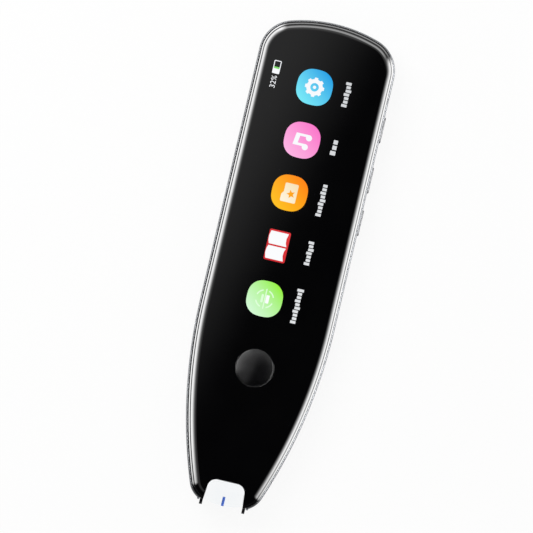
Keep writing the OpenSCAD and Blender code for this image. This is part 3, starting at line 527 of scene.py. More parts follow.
def material(name):
    """The finish of that name, made on its first use."""
    found = bpy.data.materials.get(name)
    if found:
        return found
    if name in SCREEN_COLOURS:
        return screen_colour(name)
    spec = FINISHES[name]
    made, tree = new_material(name)
    place = node(tree, "TexCoord").outputs["Object"]
    place = node(tree, "Mapping", {"Vector": place, "Scale": spec["scale"]}).outputs["Vector"]
    texture = node(tree, "Tex" + spec["pattern"], {"Vector": place, "Scale": 1.0})
    grain = texture.outputs["Distance" if spec["pattern"] == "Voronoi" else "Fac"]
    colour = blend(tree, grain, linear(spec["dark"]), linear(spec["light"]))
    low, high = spec["rough"]
    rough = node(tree, "MapRange", {"Value": grain, "To Min": low, "To Max": high})
    shader = node(tree, "BsdfPrincipled", {
        "Base Color": colour, "Roughness": rough.outputs["Result"], **spec["sockets"],
    })
    if spec["relief"]:
        bump = node(tree, "Bump", {"Height": grain, "Distance": spec["relief"], "Strength": 1.0})
        tree.links.new(bump.outputs["Normal"], shader.inputs["Normal"])
    node(tree, "OutputMaterial", {"Surface": shader.outputs["BSDF"]})
    return made


# ---- screen colours

# Each is lit by the display: (at the lower left, at the upper right, centre x, centre y, span)
SCREEN_COLOURS = {
    "lit_blue": ("#78ecf8", "#009ae4", -1.9, 54.8, 13),
    "lit_pink": ("#fcb6e4", "#fb70c8", -1.9, 38.5, 13),
    "lit_orange": ("#ffc41c", "#ff7f10", -1.9, 22.2, 13),
    "lit_cream": ("#fff4dc", "#f7e2b8", -1.9, 22.2, 6),
    "lit_green": ("#d8fadc", "#90f008", -1.9, -10.4, 13),
    "lit_red": ("#c8232b", "#e23b3f", -1.9, 5.9, 13),
    "lit_white": ("#ffffff", "#f3f6fb", 0, 22, 100),
    "lit_grey": ("#e4e6e8", "#cfd2d5", 8, 22, 100),
    "lit_pale_green": ("#e4ffe0", "#d8ffd0", -1.9, -10.0, 13),
    "lit_level": ("#86e070", "#6fcf5a", -14.5, 58.4, 4),
    "lit_black": ("#08080a", "#050506", 0, 22, 100),
}
SHADE_X, SHADE_Y = 0.640, 0.768  # the direction in which they shade


def screen_colour(name):
    """A display colour that shades from one corner of its icon to the other, under the glass's gloss."""
    pale, strong, x, y, span = SCREEN_COLOURS[name]
    made, tree = new_material(name)
    place = node(tree, "TexCoord").outputs["Object"]
    slope = (SHADE_X / (span * MM), SHADE_Y / (span * MM), 0)
    along = node(tree, "VectorMath", {0: place, 1: slope}, operation="DOT_PRODUCT").outputs["Value"]
    offset = 0.5 - (SHADE_X * x + SHADE_Y * y) / span
    share = node(tree, "Math", {0: along, 1: offset}, operation="ADD", use_clamp=True).outputs[0]
    colour = blend(tree, share, linear(pale), linear(strong))
    shader = node(tree, "BsdfPrincipled", {
        "Base Color": linear("#050506"), "Roughness": 0.03, "IOR": 1.52,
        "Emission Color": colour, "Emission Strength": 1.0,
    })
    node(tree, "OutputMaterial", {"Surface": shader.outputs["BSDF"]})
    return made


# ---- properties

def length(name, description, default, low, high):
    """A length of the panel, given in millimetres."""
    return bpy.props.FloatProperty(
        name=name, description=description, default=default * MM, min=low * MM, max=high * MM,
        unit="LENGTH", precision=5)


class TranslatorSizes(bpy.types.PropertyGroup):
    glass_edge: length("Glass edge", "Width of the rounded edge of the cover glass", 1.9, 0.8, 2.4)
    glass_round: length("Glass rounding", "Radius of the rounded edge of the cover glass", 5.1, 3.2, 8.0)
    icon: length("Icon", "Width of an icon on the screen", 10.8, 6, 14)
    lip: length("Lip", "Radius of the bead round the scan mouth", 0.38, 0.2, 0.6)
    camera_distance: length("Camera distance", "From the camera to the pen", 2000, 500, 5000)


class TranslatorColours(bpy.types.PropertyGroup):
    floor: bpy.props.FloatVectorProperty(
        name="Floor", description="Colour of the floor", subtype="COLOR", size=4,
        default=linear("#f4f4f2"), min=0, max=1)


# ---- pieces

def key_slots(room, x0, x1):
    """Openings for the side keys between two places across the wall, with room round each key."""
    plan = obround_plan(KEY_LEN + room, KEY_H + room)
    return [moved(turned(prism(plan, x0, x1), ALONG_X), 0, y, KEY_Z) for y in KEYS_Y]


def channel_plan(wall, low):
    """The channel in which the trigger frame slides, or the outside of its wall."""
    return arch_plan(CHANNEL_X + wall, CHANNEL_CROWN + wall, ARCH_R + wall, low)


def build_rear_cover():
    """The shell with its channel, holes and slots, and a bead round the scan mouth."""
    lip = bpy.context.scene.translator_sizes.lip / MM
    inside = Z_BACK + WALL
    outer = prism(body_plan(0), Z_BACK, Z_SEAM)
    ease(outer, rim(outer, Z_BACK), BACK_IN, 16, BACK_UP)
    ease(outer, rim(outer, Z_SEAM), SEAM_IN, 8, SEAM_UP)
    hollow = prism(body_plan(WALL), inside, Z_SEAM + 2)
    ease(hollow, rim(hollow, inside), BACK_IN - WALL, 8, BACK_UP - WALL)
    hollow = shape(hollow, (CUT, prism(channel_plan(CHANNEL_WALL, Y_FOOT - 5), -3, Z_SEAM - GAP)))
    channel = prism(channel_plan(0, Y_FOOT - 9), -5, Z_SEAM + 1)
    holes = [disc(SPEAKER_HOLE_R, -1, inside + 1, x, y, 20) for x, y in speaker_places()]
    camera = disc(RING_HIGH.x, -1, inside + 1, 0, CAMERA_Y, 96)
    port = turned(prism(obround_plan(PORT_LEN, PORT_H, 16), -Y_END - 1, -Y_END + 6), ALONG_Y)
    half_x, half_z, y = POST_HALF_X + SLIDE_GAP, POST_HALF_Z + SLIDE_GAP, CHANNEL_CROWN
    windows = [
        block((x - half_x, y - 2, LENS_Z - half_z), (x + half_x, y + 2, LENS_Z + half_z))
        for x in (-POST_X, POST_X)
    ]
    view = block((-VIEW_X, CHANNEL_CROWN - 1.2, VIEW_LOW), (VIEW_X, CHANNEL_CROWN + 2, VIEW_TOP))
    slots = key_slots(0.3, HALF_W - WALL - 1, HALF_W + 1)
    shell = shape(
        outer, (CUT, hollow), (ADD, tube(lip_route(), lip)), (CUT, channel),
        (CUT, join(*holes, camera, *slots, moved(port, 0, 0, PORT_Z))),
        (CUT, join(*windows)), (CUT, view),
    )
    soften(shell, (-8, SPEAKER_Y - 6, 0), (8, CAMERA_Y + 5, Z_BACK + 0.02), 0.1)
    for y in KEYS_Y:
        soften(shell, (HALF_W - 0.02, y - 5, 5), (HALF_W + 1, y + 5, 8), 0.1)
    soften(shell, (-5, Y_END - 0.5, 4), (5, Y_END + 1, 8), 0.12)
    piece("rear_shell", shell, "abs_metallic_paint_gunmetal", replaces=["rear_cover"])


def speaker_places():
    """Holes on two rounded tracks round a row of three."""
    places = [(k * 2.0, SPEAKER_Y) for k in (-1, 0, 1)]
    straight = 4.0
    for radius, count in ((1.75, 10), (3.5, 16)):
        bend = math.pi * radius
        for k in range(count):
            half, along = divmod(2 * (straight + bend) * (k + 0.5) / count, straight + bend)
            side = 1 - 2 * half
            if along < straight:
                x, y = along - straight / 2, radius
            else:
                x, y = polar(radius, 90 - 180 * (along - straight) / bend, straight / 2)
            places.append((side * x, SPEAKER_Y + side * y))
    return places


def half_width(y, inset):
    """Half width of the outline at a place along the pen."""
    if y >= TAPER_Y:
        return HALF_W - inset
    if y >= TIP_Y - (TIP_R - inset) * math.cos(math.radians(TIP_TURN)):
        return TAPER_X + math.sqrt((TAPER_R - inset) ** 2 - (TAPER_Y - y) ** 2)
    return TIP_X + math.sqrt(max(0.0, (TIP_R - inset) ** 2 - (TIP_Y - y) ** 2))


def back_height(x, y):
    """Height of the rear surface over a point, from how deep it lies inside the outline."""
    low, high = 0.0, BACK_IN
    for _ in range(24):
        middle = (low + high) / 2
        inside = y > Y_TIP + middle and abs(x) < half_width(y, middle)
        low, high = (middle, high) if inside else (low, middle)
    return Z_BACK + BACK_UP * (1 - math.sqrt(max(0.0, 1 - (1 - low / BACK_IN) ** 2)))


def lip_route():
    """The line of the bead: up the tip's wall, round the arch on the rear face, and down again."""
    middle = CHANNEL_WALL / 2
    half, crown, radius = CHANNEL_X + middle, CHANNEL_CROWN + middle, ARCH_R + middle
    low = TIP_Y - math.sqrt(TIP_R ** 2 - (half - TIP_X) ** 2)
    plan = [(half, low + 0.02 + (crown - radius - low - 0.02) * (k / 24) ** 1.6) for k in range(25)]
    plan += [polar(radius, 90 * k / 14, half - radius, crown - radius) for k in range(1, 15)]
    right = [(x, y, back_height(x, y)) for x, y in plan]
    x, y = plan[0]
    right = [(x, y + 0.18, Z_SEAM - 0.45), (x, y + 0.03, 9.0), (x, y, 7.5), (x, y, 6.0)] + right
    return right + [(-x, y, z) for x, y, z in reversed(right)]


def tube(route, radius, sides=14):
    """A round bead swept along a route of points."""
    bm = bmesh.new()
    verts = bmesh.ops.create_circle(bm, cap_ends=False, segments=sides, radius=radius)["verts"]
    start = ring = bm.edges[:]
    points = [Vector(p) for p in route]
    turn, last = Matrix(), Vector()
    for k, point in enumerate(points):
        ahead = points[min(k + 1, len(points) - 1)] - points[max(k - 1, 0)]
        if k:
            made = bmesh.ops.extrude_edge_only(bm, edges=ring)["geom"]
            verts = verts_of(made)
            ring = [item for item in made if isinstance(item, bmesh.types.BMEdge)]
        way = turn.to_3x3() @ Vector((0, 0, 1))
        step = way.rotation_difference(ahead.normalized()).to_matrix().to_4x4()
        about = Matrix.Translation(point) @ step @ Matrix.Translation(-last)
        bmesh.ops.transform(bm, matrix=about, verts=verts)
        turn, last = step @ turn, point
    for edges in (start, ring):
        bmesh.ops.contextual_create(bm, geom=edges)
    outward(bm)
    return bm


def build_frame():
    """The gloss band round the glass, with its skirt, plate and bridge inside the shell."""
    crown = [(Z_RIM - drop, inset) for inset, drop in BAND_CROWN]
    band = loft([(Z_SEAM, BAND_IN)] + crown)
    ease(band, rim(band, crown[0][0]), 0.03, 2)
    fit = WALL + GAP
    inner = fit + FRAME_WALL
    keep = block((-30, -90, Z_SEAM - 1), (30, HOUSING_LOW.y, Z_RIM + 1))
    well = shape(prism(body_plan(inner), Z_SEAM - 1, Z_RIM + 1), (CUT, keep))
    skirt = prism(body_plan(fit), SKIRT_LOW, Z_SEAM + 0.01)
    inside = prism(body_plan(inner), 8, Z_SEAM + 1)
    plate = prism(body_plan(fit + 0.05), SKIRT_LOW, PLATE_TOP)
    below = block((-30, -90, 8), (30, PANEL_LOW.y - 0.5, 10))
    plate = shape(plate, (CUT, below))
    skirt = shape(skirt, (CUT, inside))
    notch = prism(notch_plan(), Z_SEAM - 1, Z_RIM + 2)
    seat = block((-NOTCH_HALF, NOTCH_CROWN - NOTCH_R - 1, Z_GUARD),
                 (NOTCH_HALF, NOTCH_CROWN + TONGUE + GAP, Z_RIM + 1))
    bridge = arch_plan(CHANNEL_X + CHANNEL_WALL + GAP, CHANNEL_CROWN + BRIDGE, ARCH_R, Y_FOOT - 5)
    ear = turned(prism(obround_plan(MIC_LEN, MIC_H), -HALF_W - 1, -HALF_W + 5), ALONG_X)
    made = shape(
        band, (CUT, well), (ADD, skirt), (ADD, plate), (CUT, prism(bridge, SKIRT_LOW - 1, Z_SEAM)),
        (CUT, notch), (CUT, seat),
        (CUT, join(*key_slots(1.4, HALF_W - 5, HALF_W), moved(ear, 0, MIC_Y, MIC_Z))),
    )
    piece("frame_band", made, "pc_abs_moulded_gloss_black", replaces=["mid_frame"])


def build_glass():
    """The cover glass: a polished slab with a rounded edge, a notch and the hole of the home key."""
    sizes = bpy.context.scene.translator_sizes
    levels = round_edge(Z_SCREEN, GLASS_IN, sizes.glass_edge / MM, sizes.glass_round / MM, 16)
    slab = loft([(Z_GLASS, GLASS_IN)] + levels)
    ease(slab, rim(slab, levels[0][0]), 0.06, 2)
    notch = prism(notch_plan(), Z_GLASS - 1, Z_SCREEN + 1)
    hole = disc(HOME_R + 0.15, Z_GLASS - 1, Z_SCREEN + 1, 0, HOME_Y, 96)
    slab = shape(slab, (CUT, notch), (CUT, hole))
    soften(slab, (-7, HOME_Y - 7, Z_SCREEN - 0.01), (7, HOME_Y + 7, Z_SCREEN + 1), 0.05, 2)
    piece("cover_glass", slab, "glass_polished_back_printed", replaces=["front_glass"])


# ---- screen

READ_ALONG_Y = Matrix.Rotation(math.radians(90), 4, "Z")
ICON_X, LABEL_X = -1.9, 8.15


def screen_piece(name, plan, x, y, layer, colour):
    """One flat figure of the picture. Its plan reads along the pen, from the tip to the camera end."""
    z = Z_SCREEN + layer * LAYER
    piece(name, moved(turned(prism(plan, z, z + LAYER), READ_ALONG_Y), x, y), colour)


def squircle(size):
    """A square with bulging sides and very round corners."""
    half = size / 2
    corner_at, side = 0.18 * half, 2.5 * half
    lean = math.degrees(math.atan2(corner_at, corner_at + side - half))
    strokes = []
    for k in range(4):
        strokes.append((*polar(half - side, 90 * k), 2 * lean, 6))
        strokes.append((*polar(corner_at * math.sqrt(2), 90 * k + 45), 90 - 2 * lean, 14))
    return polar(side, -lean, half - side), strokes


def gear(root, tip):
    """A wheel with eight teeth."""
    pitch = 45
    strokes = []
    for k in range(8):
        a = pitch * (k + 0.3)
        strokes.append((0, 0, 0.4 * pitch, 3))
        strokes += [polar(tip, a + 0.5 * pitch), polar(tip, a + 0.9 * pitch), polar(root, a + pitch)]
    return polar(root, 0.3 * pitch), strokes


def star(radius, inner):
    points = [polar(inner if k % 2 else radius, 90 + 36 * k) for k in range(10)]
    return points[0], points[1:]


def bow(inner, outer, middle, half):
    """A piece of a ring, from its middle angle to both sides."""
    back = polar(inner, middle + half)
    return polar(outer, middle - half), [(0, 0, 2 * half, 12), back, (0, 0, -2 * half, 12)]


def note():
    """Two joined quavers in one line."""
    return (1.96, 2.08), [
        (-1.70, 2.57), (-1.70, -0.362), (-1.85, -1.27, 279.4, 28), (-0.93, 1.10),
        (1.20, 0.84), (1.20, -0.994), (1.04, -1.90, 280.0, 28),
    ]


def folder():
    return (2.5, -2.25), [
        (2.5, -1.85, 90, 5), (2.9, 1.39), (2.5, 1.39, 90, 5), (0.13, 1.79),
        (-0.75, 2.4), (-2.47, 2.4), (-2.47, 2.0, 90, 5), (-2.87, -1.85),
        (-2.47, -1.85, 90, 5),
    ]


def page(side):
    """One page of an open book, with a sagging top and bottom."""
    s = side
    return (s * 0.25, -2.8), [
        (s * 1.2, -2.4), (s * 2.6, -2.3), (s * 4.2, -2.7), (s * 4.2, 2.7),
        (s * 2.6, 3.05), (s * 1.2, 2.95), (s * 0.25, 2.6),
    ]


def circle(radius, steps):
    return (radius, 0), [(0, 0, 360, steps)]


def build_picture():
    """The icons, their labels and the battery sign."""
    ground = squircle(bpy.context.scene.translator_sizes.icon / MM)
    icons = (
        # Name, how far below the pen's end, blocks in its label, the label's length, and the figures:
        # end of the name, plan, layer, colour, and how far beside the icon's middle if not on it
        ("settings", 20.18, 7, 7.8, (
            ("", ground, 0, "lit_blue"), ("_gear", gear(2.45, 2.95), 1, "lit_white"),
            ("_eye", circle(1.28, 32), 2, "lit_blue"), ("_dot", circle(0.5, 24), 3, "lit_white"))),
        ("music", 36.5, 3, 5.0, (("", ground, 0, "lit_pink"), ("_note", note(), 1, "lit_white"))),
        ("folder", 52.77, 9, 10.0, (
            ("", ground, 0, "lit_orange"), ("_body", folder(), 1, "lit_cream"),
            ("_star", star(1.35, 0.62), 2, "lit_orange", 0.45, -0.3))),
        ("book", 69.1, 7, 7.5, (
            ("_cover", round_plan((-4.7, -3.3), (4.7, 3.2), 0.5), 0, "lit_red"),
            ("_page_right", page(1), 1, "lit_white"), ("_page_left", page(-1), 1, "lit_white"))),
        ("scan", 85.4, 10, 10.8, (
            ("", ground, 0, "lit_green"),
            *((f"_bow_{n + 1}", bow(2.45, 2.85, 45 + 90 * n, 26), 1, "lit_pale_green") for n in range(4)),
            ("_line", round_plan((-3.1, -0.25), (3.1, 0.1), 0.17), 1, "lit_pale_green"),
            ("_page", round_plan((-1.25, -1.35), (1.25, -0.35), 0.2), 1, "lit_white"),
            ("_lines", round_plan((-1.25, 0.4), (1.25, 1.1), 0.2), 1, "lit_pale_green"))),
    )
    for name, down, count, long, figures in icons:
        for end, plan, layer, colour, *beside in figures:
            dx, dy = beside or (0, 0)
            screen_piece("icon_" + name + end, plan, ICON_X + dx, Y_END - down + dy, layer, colour)
        build_label(name, count, long, Y_END - down)
    x, y = -14.3, Y_END - 16.85
    screen_piece("battery_sign", round_plan((-2.0, -1.1), (2.0, 1.1), 0.3), x, y, 0, "lit_white")
    screen_piece("battery_sign_well", round_plan((-0.2, -0.85), (1.75, 0.85), 0.15), x, y, 1, "lit_black")
    screen_piece("battery_sign_level", round_plan((-0.5, -0.85), (0.05, 0.85), 0.1), x, y, 2, "lit_level")
    build_number("32%", x, y - 4.5)


def build_label(name, count, long, y):
    """A row of plain blocks where an icon has its name."""
    pitch = long / count
    blocks = []
    for k in range(count):
        left = -long / 2 + pitch * (k + 0.12)
        low = -0.95 if k % 5 == 4 else -0.6
        high = 1.05 if k % 3 == 0 else 0.7
        plan = round_plan((left, low), (left + 0.76 * pitch, high), 0.1, 2)
        blocks.append(prism(plan, Z_SCREEN, Z_SCREEN + LAYER))
    made = moved(turned(join(*blocks), READ_ALONG_Y), LABEL_X, y)
    piece("label_" + name, made, "lit_grey")


def build_number(words, x, y):
    """The charge in numbers, which reads along the pen."""
    text = bpy.data.curves.new("charge", "FONT")
    text.body = words
    text.size = 2.3
    text.align_x = text.align_y = "CENTER"
    text.resolution_u = 4
    holder = placed("charge", text)
    bpy.context.view_layer.update()
    mesh = bpy.data.meshes.new_from_object(holder.evaluated_get(bpy.context.evaluated_depsgraph_get()))
    bm = bmesh.new()
    bm.from_mesh(mesh)
    bpy.data.meshes.remove(mesh)
    bpy.data.objects.remove(holder)
    bpy.data.curves.remove(text)
    bmesh.ops.remove_doubles(bm, verts=bm.verts[:], dist=1e-4)
    lift(bm, bm.faces[:], LAYER)
    made = moved(turned(moved(bm, z=Z_SCREEN), READ_ALONG_Y), x, y)
    piece("battery_number", made, "lit_white")


# ---- keys, camera, tip

def build_home_key():
    """A round, slightly domed key with a soft rim."""
    flange, stem, soft = HOME_R + 0.8, 2.4, 0.2
    flange_low, flange_top = 11.0, 11.9
    curve = (HOME_R ** 2 + HOME_DOME ** 2) / (2 * HOME_DOME)
    top, edge = GLASS_HIGH.z - 0.05, HOME_R - soft
    profile = [(edge * k / 14, top - curve + math.sqrt(curve ** 2 - (edge * k / 14) ** 2)) for k in range(15)]
    profile += quarter(edge, profile[-1][1] - soft, soft, 80, 0)
    profile += [(HOME_R, flange_top), (flange, flange_top), (flange, flange_low), (stem, flange_low)]
    low = corners("home_button")[0].z
    made = lathe(profile + [(stem, low), (0, low)], HOME_Y)
    piece("home_key", made, "pc_moulded_gloss_black", body="home_key", replaces=["home_button"])


def build_side_keys():
    """Three pill-shaped keys with round edges, each with the flange that keeps it in."""
    wide, thin, rest = 1.2, 0.6, 4.4  # the flange's width and thickness, the level where it is cut off
    pin = 0.8
    for word, y in zip(("power", "volume_up", "volume_down"), KEYS_Y):
        low, high = corners(word + "_button")
        cap = prism(obround_plan(KEY_LEN, KEY_H, 12), low.x + 0.5, high.x)
        ease(cap, rim(cap, high.x), 0.35, 5)
        flange = prism(obround_plan(KEY_LEN + wide, KEY_H + wide, 12), low.x + 0.2, low.x + 0.2 + thin)
        flange = shape(flange, (CUT, block((-9, -9, -9), (9, rest - KEY_Z, 99))))
        made = shape(cap, (ADD, flange), (ADD, disc(pin, low.x, low.x + 0.4)))
        made = moved(turned(made, ALONG_X), 0, y, KEY_Z)
        piece(word + "_key_cap", made, "pc_abs_eroded_grey", body=word + "_key",
              replaces=[word + "_button"])


def build_camera():
    """The ring, the domed cover lens, and the black barrel with its coated element behind it."""
    r, bore, top = RING_HIGH.x, CAMERA_BORE, RING_HIGH.z
    inner_soft, outer_soft, flange, shell_in = 0.25, 0.4, 0.85, Z_BACK + WALL
    profile = quarter(bore + inner_soft, inner_soft, inner_soft, 180, 270)
    profile += quarter(r - outer_soft, outer_soft, outer_soft, 270, 360)
    profile += [(r, shell_in), (r + flange, shell_in), (r + flange, top), (bore, top)]
    piece("camera_bezel", lathe(profile, CAMERA_Y), "aluminium_turned_anodised",
          replaces=["camera_ring"])

    curve, radius, under, face = 9.0, bore - 0.02, 1.45, 0.15
    steps = [radius * k / 12 for k in range(13)]
    profile = [(x, face + curve - math.sqrt(curve ** 2 - x ** 2)) for x in steps]
    profile += [(radius, under), (0, under)]
    piece("camera_cover_lens", lathe(profile, CAMERA_Y), "optical_glass_smoked",
          replaces=["camera_lens"])

    low, high = corners("camera_module")
    barrel = [
        (2.1, 1.65), (2.1, 2.95), (0, 2.95), (0, 2.5), (0.8, 2.5), (0.85, 2.2), (1.15, 2.15), (1.2, 1.95),
        (1.55, 1.9), (1.6, 1.7), (1.75, 1.65),
    ]
    body = block((low.x, low.y, 2.9), (high.x, high.y, high.z), 0.15)
    made = shape(body, (ADD, lathe(barrel, CAMERA_Y, 64)))
    piece("camera_barrel", made, "pa_glass_filled_black", replaces=["camera_module"])
    glass = [(0.78 * k / 8, 2.05 + 0.35 * (k / 8) ** 2) for k in range(9)] + [(0.78, 2.5), (0, 2.5)]
    piece("camera_inner_lens", lathe(glass, CAMERA_Y, 48), "optical_glass_blue_coating")


def build_guard():
    """The clear guard in the notch, with a pocket for its blue mark."""
    half, crown, r, low = NOTCH_HALF - GAP, NOTCH_CROWN - GAP, NOTCH_R - GAP, Y_TIP + GAP
    sag = 1.2  # how far the front edge bows out
    x, y, foot = arch_side(half, crown, r, low + sag, NOTCH_FLARE)
    bulge = (foot ** 2 + sag ** 2) / (2 * sag)
    lean = math.degrees(math.asin(foot / bulge))
    plan = ((-foot, low + sag), [
        (0, low + bulge, 2 * lean, 20), (x, y), (half - r, crown - r, 90 - NOTCH_FLARE, 12),
        (r - half, crown), (r - half, crown - r, 90 - NOTCH_FLARE, 12),
    ])
    guard = prism(plan, Z_GUARD, Z_GUARD_TOP)
    reach = low + sag + 0.01
    front = [edge for edge in rim(guard, Z_GUARD_TOP) if all(vert.co.y < reach for vert in edge.verts)]
    ease(guard, front, 0.75, 1, 0.25)
    ease(guard, rim(guard, Z_GUARD), 0.1, 2)
    tongue = block((-half, crown - r - 0.5, Z_GUARD), (half, NOTCH_CROWN + TONGUE, Z_RIM))
    low, high = corners("aim_mark")
    pocket = block(low, (high.x, high.y, Z_GUARD_TOP + 1))
    guard = shape(guard, (ADD, tongue), (CUT, pocket))
    piece("guard_plate", guard, "pc_moulded_clear", replaces=["tip_guard"])
    piece("alignment_mark", block(low, high), "ink_pad_printed_blue", replaces=["aim_mark"])


def build_trigger():
    """The trigger frame: an arch with two round feet, and two posts that reach the switch and the spring."""
    low, top, end, crown = TRIGGER_LOW.z, TRIGGER_HIGH.z, TRIGGER_HIGH.y, TRIGGER_CROWN
    bend_x, bend_y, past = LEG_X - ARCH_R, crown - ARCH_R, Y_FOOT - 1
    plan = ((LEG_X, past), [
        (LEG_X, bend_y), (bend_x, bend_y, 90, 14), (-bend_x, crown), (-bend_x, bend_y, 90, 14),
        (-LEG_X, past), (-MOUTH_X, past), (-MOUTH_X, bend_y), (-bend_x, bend_y, -90, 14),
        (bend_x, crown - (LEG_X - MOUTH_X)), (bend_x, bend_y, -90, 14), (MOUTH_X, past),
    ])
    y, z, foot, neck, thick = Y_FOOT, (low + top) / 2, 1.7, 2.4, 4.0  # feet and where they widen
    side = ((y + thick, low), [
        (crown + 1, low), (crown + 1, top), (y + thick, top), (y + neck, z + foot),
        (y + foot, z + foot), (y + foot, z, 180, 20), (y + neck, z - foot),
    ])
    legs = shape(prism(plan, low, top), ("INTERSECT", turned(prism(side, -9, 9), ALONG_X)))
    ease(legs, sharp_edges(legs, least=35), 0.14, 3)
    view = block((-VIEW_X, crown - 3, VIEW_LOW), (VIEW_X, crown + 1, VIEW_TOP))
    thin, tall = POST_HALF_X, POST_HALF_Z
    wide, high, plate, soft = 1.5, 1.7, 0.8, 0.1  # the plate at the end of a post
    posts = []
    for x in (-POST_X, POST_X):
        far = (x + thin, end - plate / 2, LENS_Z + tall)
        posts.append(block((x - thin, crown - 0.5, LENS_Z - tall), far))
        posts.append(block((x - wide, end - plate, LENS_Z - high), (x + wide, end, LENS_Z + high), soft))
    made = shape(legs, (CUT, view), *[(ADD, post) for post in posts])
    piece("trigger_slide", made, "pom_moulded_black", body="scan_trigger", replaces=["trigger_frame"])


def build_soft_parts():
    """The silicone dome under the home key and the trigger's coil spring, each with a mesh of its own."""
    low, high = corners("home_key_pad")
    foot, skin, neck = high.x, 0.45, HOME_DOME_TOP
    profile = [
        (foot - skin - 0.6, low.z), (foot, low.z), (foot, low.z + skin), (foot - 0.9, low.z + skin + 0.1),
        (neck + skin, high.z), (neck, high.z), (foot - skin - 0.75, low.z + 0.35),
    ]
    dome = lathe(profile, HOME_Y)
    ease(dome, sharp_edges(dome, least=40), 0.08, 2)
    made = piece("key_dome", dome, "silicone_moulded", replaces=["home_key_pad"])
    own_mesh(made)

    low, high = corners("trigger_spring")
    wire, turns, per_turn = 0.15, 5, 28
    radius = (high.x - low.x) / 2 - wire
    x, z = (low.x + high.x) / 2, (low.z + high.z) / 2
    pitch = (high.y - low.y - 2 * wire) / turns
    route = []
    for k in range(turns * per_turn + 1):
        along, up = polar(radius, 360 * k / per_turn, x, z)
        route.append((along, low.y + wire + pitch * k / per_turn, up))
    coil = tube(route, wire, 10)
    made = piece("return_spring", coil, "steel_wire_drawn", replaces=["trigger_spring"])
    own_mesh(made)


# What the CAD nodes that keep their own mesh are made of
INNER = {
    "acrylic_tape_black": ["glass_adhesive", "display_tape", "battery_tape"],
    "silicone_moulded": ["microphone_boot"],
    "steel_rolled": [
        "home_switch", "side_key_bracket", "side_switches", "shield_can", "board_screws", "usb_port",
        "tip_switch", "scan_screws", "microphone",
    ],
    "fr4_green_resist": ["side_key_board", "main_board", "top_board", "scan_board"],
    "lcd_glass": ["display_panel", "scan_window"],
    "pmma_light_guide": ["backlight", "light_diffuser", "scan_leds"],
    "polyimide_amber": ["display_flex", "link_flex", "scan_flex", "battery_lead", "antenna"],
    "epoxy_moulded_black": ["processor", "memory_chip", "power_chip", "scan_sensor"],
    "aluminium_laminate_pouch": ["battery", "wireless_module"],
    "pa_glass_filled_black": ["usb_tongue", "speaker", "scan_housing", "board_connectors"],
    "rubber_foam_black": ["speaker_gasket", "camera_pad"],
    "steel_mesh_blackened": ["speaker_mesh"],
    "bronze_gold_plated": ["speaker_contacts"],
    "optical_glass_coated": ["scan_lens"],
}


def finish_inner():
    """Gives every CAD node that stays its real material."""
    for name, members in INNER.items():
        for member in members:
            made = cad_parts[member]
            if not made.material_slots:
                made.data.materials.append(None)
            for slot in made.material_slots:
                slot.material = material(name)


# ---- stage

LEAN = 13.3  # how far the pen leans to the right in the view, in degrees
VIEW_WIDTH = 160.5 * MM  # what the view spans at the height of the pen
AIM_RIGHT = -3.66 * MM  # how far beside the pen's middle it aims
SENSOR = 36  # width of the film, in the lens's own millimetres


def build_camera_view():
    """Looks straight down on the glass, with the pen leaning to the right."""
    distance = bpy.context.scene.translator_sizes.camera_distance
    back = Vector((0, 0, 1))
    right = Vector((*polar(1, LEAN), 0))
    up = back.cross(right)
    aim = Vector((0, 0, GLASS_HIGH.z / 2 * MM)) + right * AIM_RIGHT
    data = bpy.data.cameras.new("view")
    data.sensor_width = SENSOR
    data.lens = SENSOR * distance / VIEW_WIDTH
    data.clip_start, data.clip_end = 0.05, 20
    camera = placed("view", data)
    rotation = Matrix((right, up, back)).transposed()
    camera.matrix_world = Matrix.Translation(aim + back * distance) @ rotation.to_4x4()
    bpy.context.scene.camera = camera


def build_floor():
    """A pale floor that is only seen from above, so that the rear face can be looked at from below."""
    white = (1, 1, 1, 1)
    bm = bmesh.new()
    bmesh.ops.create_grid(bm, x_segments=1, y_segments=1, size=3.0)
    floor = placed("floor", mesh_of("floor", bm))
    for ray in ("diffuse", "glossy", "shadow", "transmission"):
        setattr(floor, "visible_" + ray, False)
    made, tree = new_material("floor_paper")
    place = node(tree, "TexCoord").outputs["Object"]
    grain = node(tree, "TexNoise", {"Vector": place, "Scale": 900.0}).outputs["Fac"]
    tone = blend(tree, grain, bpy.context.scene.translator_colours.floor, white)
    paper = node(tree, "BsdfDiffuse", {"Color": tone}).outputs[0]
    glow = node(tree, "Emission", {"Color": white, "Strength": 1.0}).outputs[0]
    seen = node(tree, "MixShader", {0: 0.9, 1: paper, 2: glow}).outputs[0]
    side = node(tree, "NewGeometry").outputs["Backfacing"]
    clear = node(tree, "BsdfTransparent").outputs[0]
    top_only = node(tree, "MixShader", {0: side, 1: seen, 2: clear}).outputs[0]
    node(tree, "OutputMaterial", {"Surface": top_only})
    floor.data.materials.append(made)


# The light walls: azimuth of the middle and half widths of the full and of the faded part, in degrees,
# then the sine of the height where the light starts, is full, starts to fade and ends, and its strength
WALLS = (
    (163, 34, 50, 0.75, 0.80, 0.845, 1.002, 21.0),
    (5, 19, 37, 0.17, 0.28, 0.761, 0.985, 21.6),
    (86, 28, 54, 0.82, 0.86, 0.92, 0.955, 6.0),
    (80, 25, 70, 0.4, 0.6, 0.965, 0.9995, 0.9),
)
HORIZON, BELOW_SIDE, BELOW_ALL, CEILING = 0.3, 0.7, 0.06, 0.52  # strengths of the other lights
MATT_LIGHT = 0.55  # of the world on matt surfaces


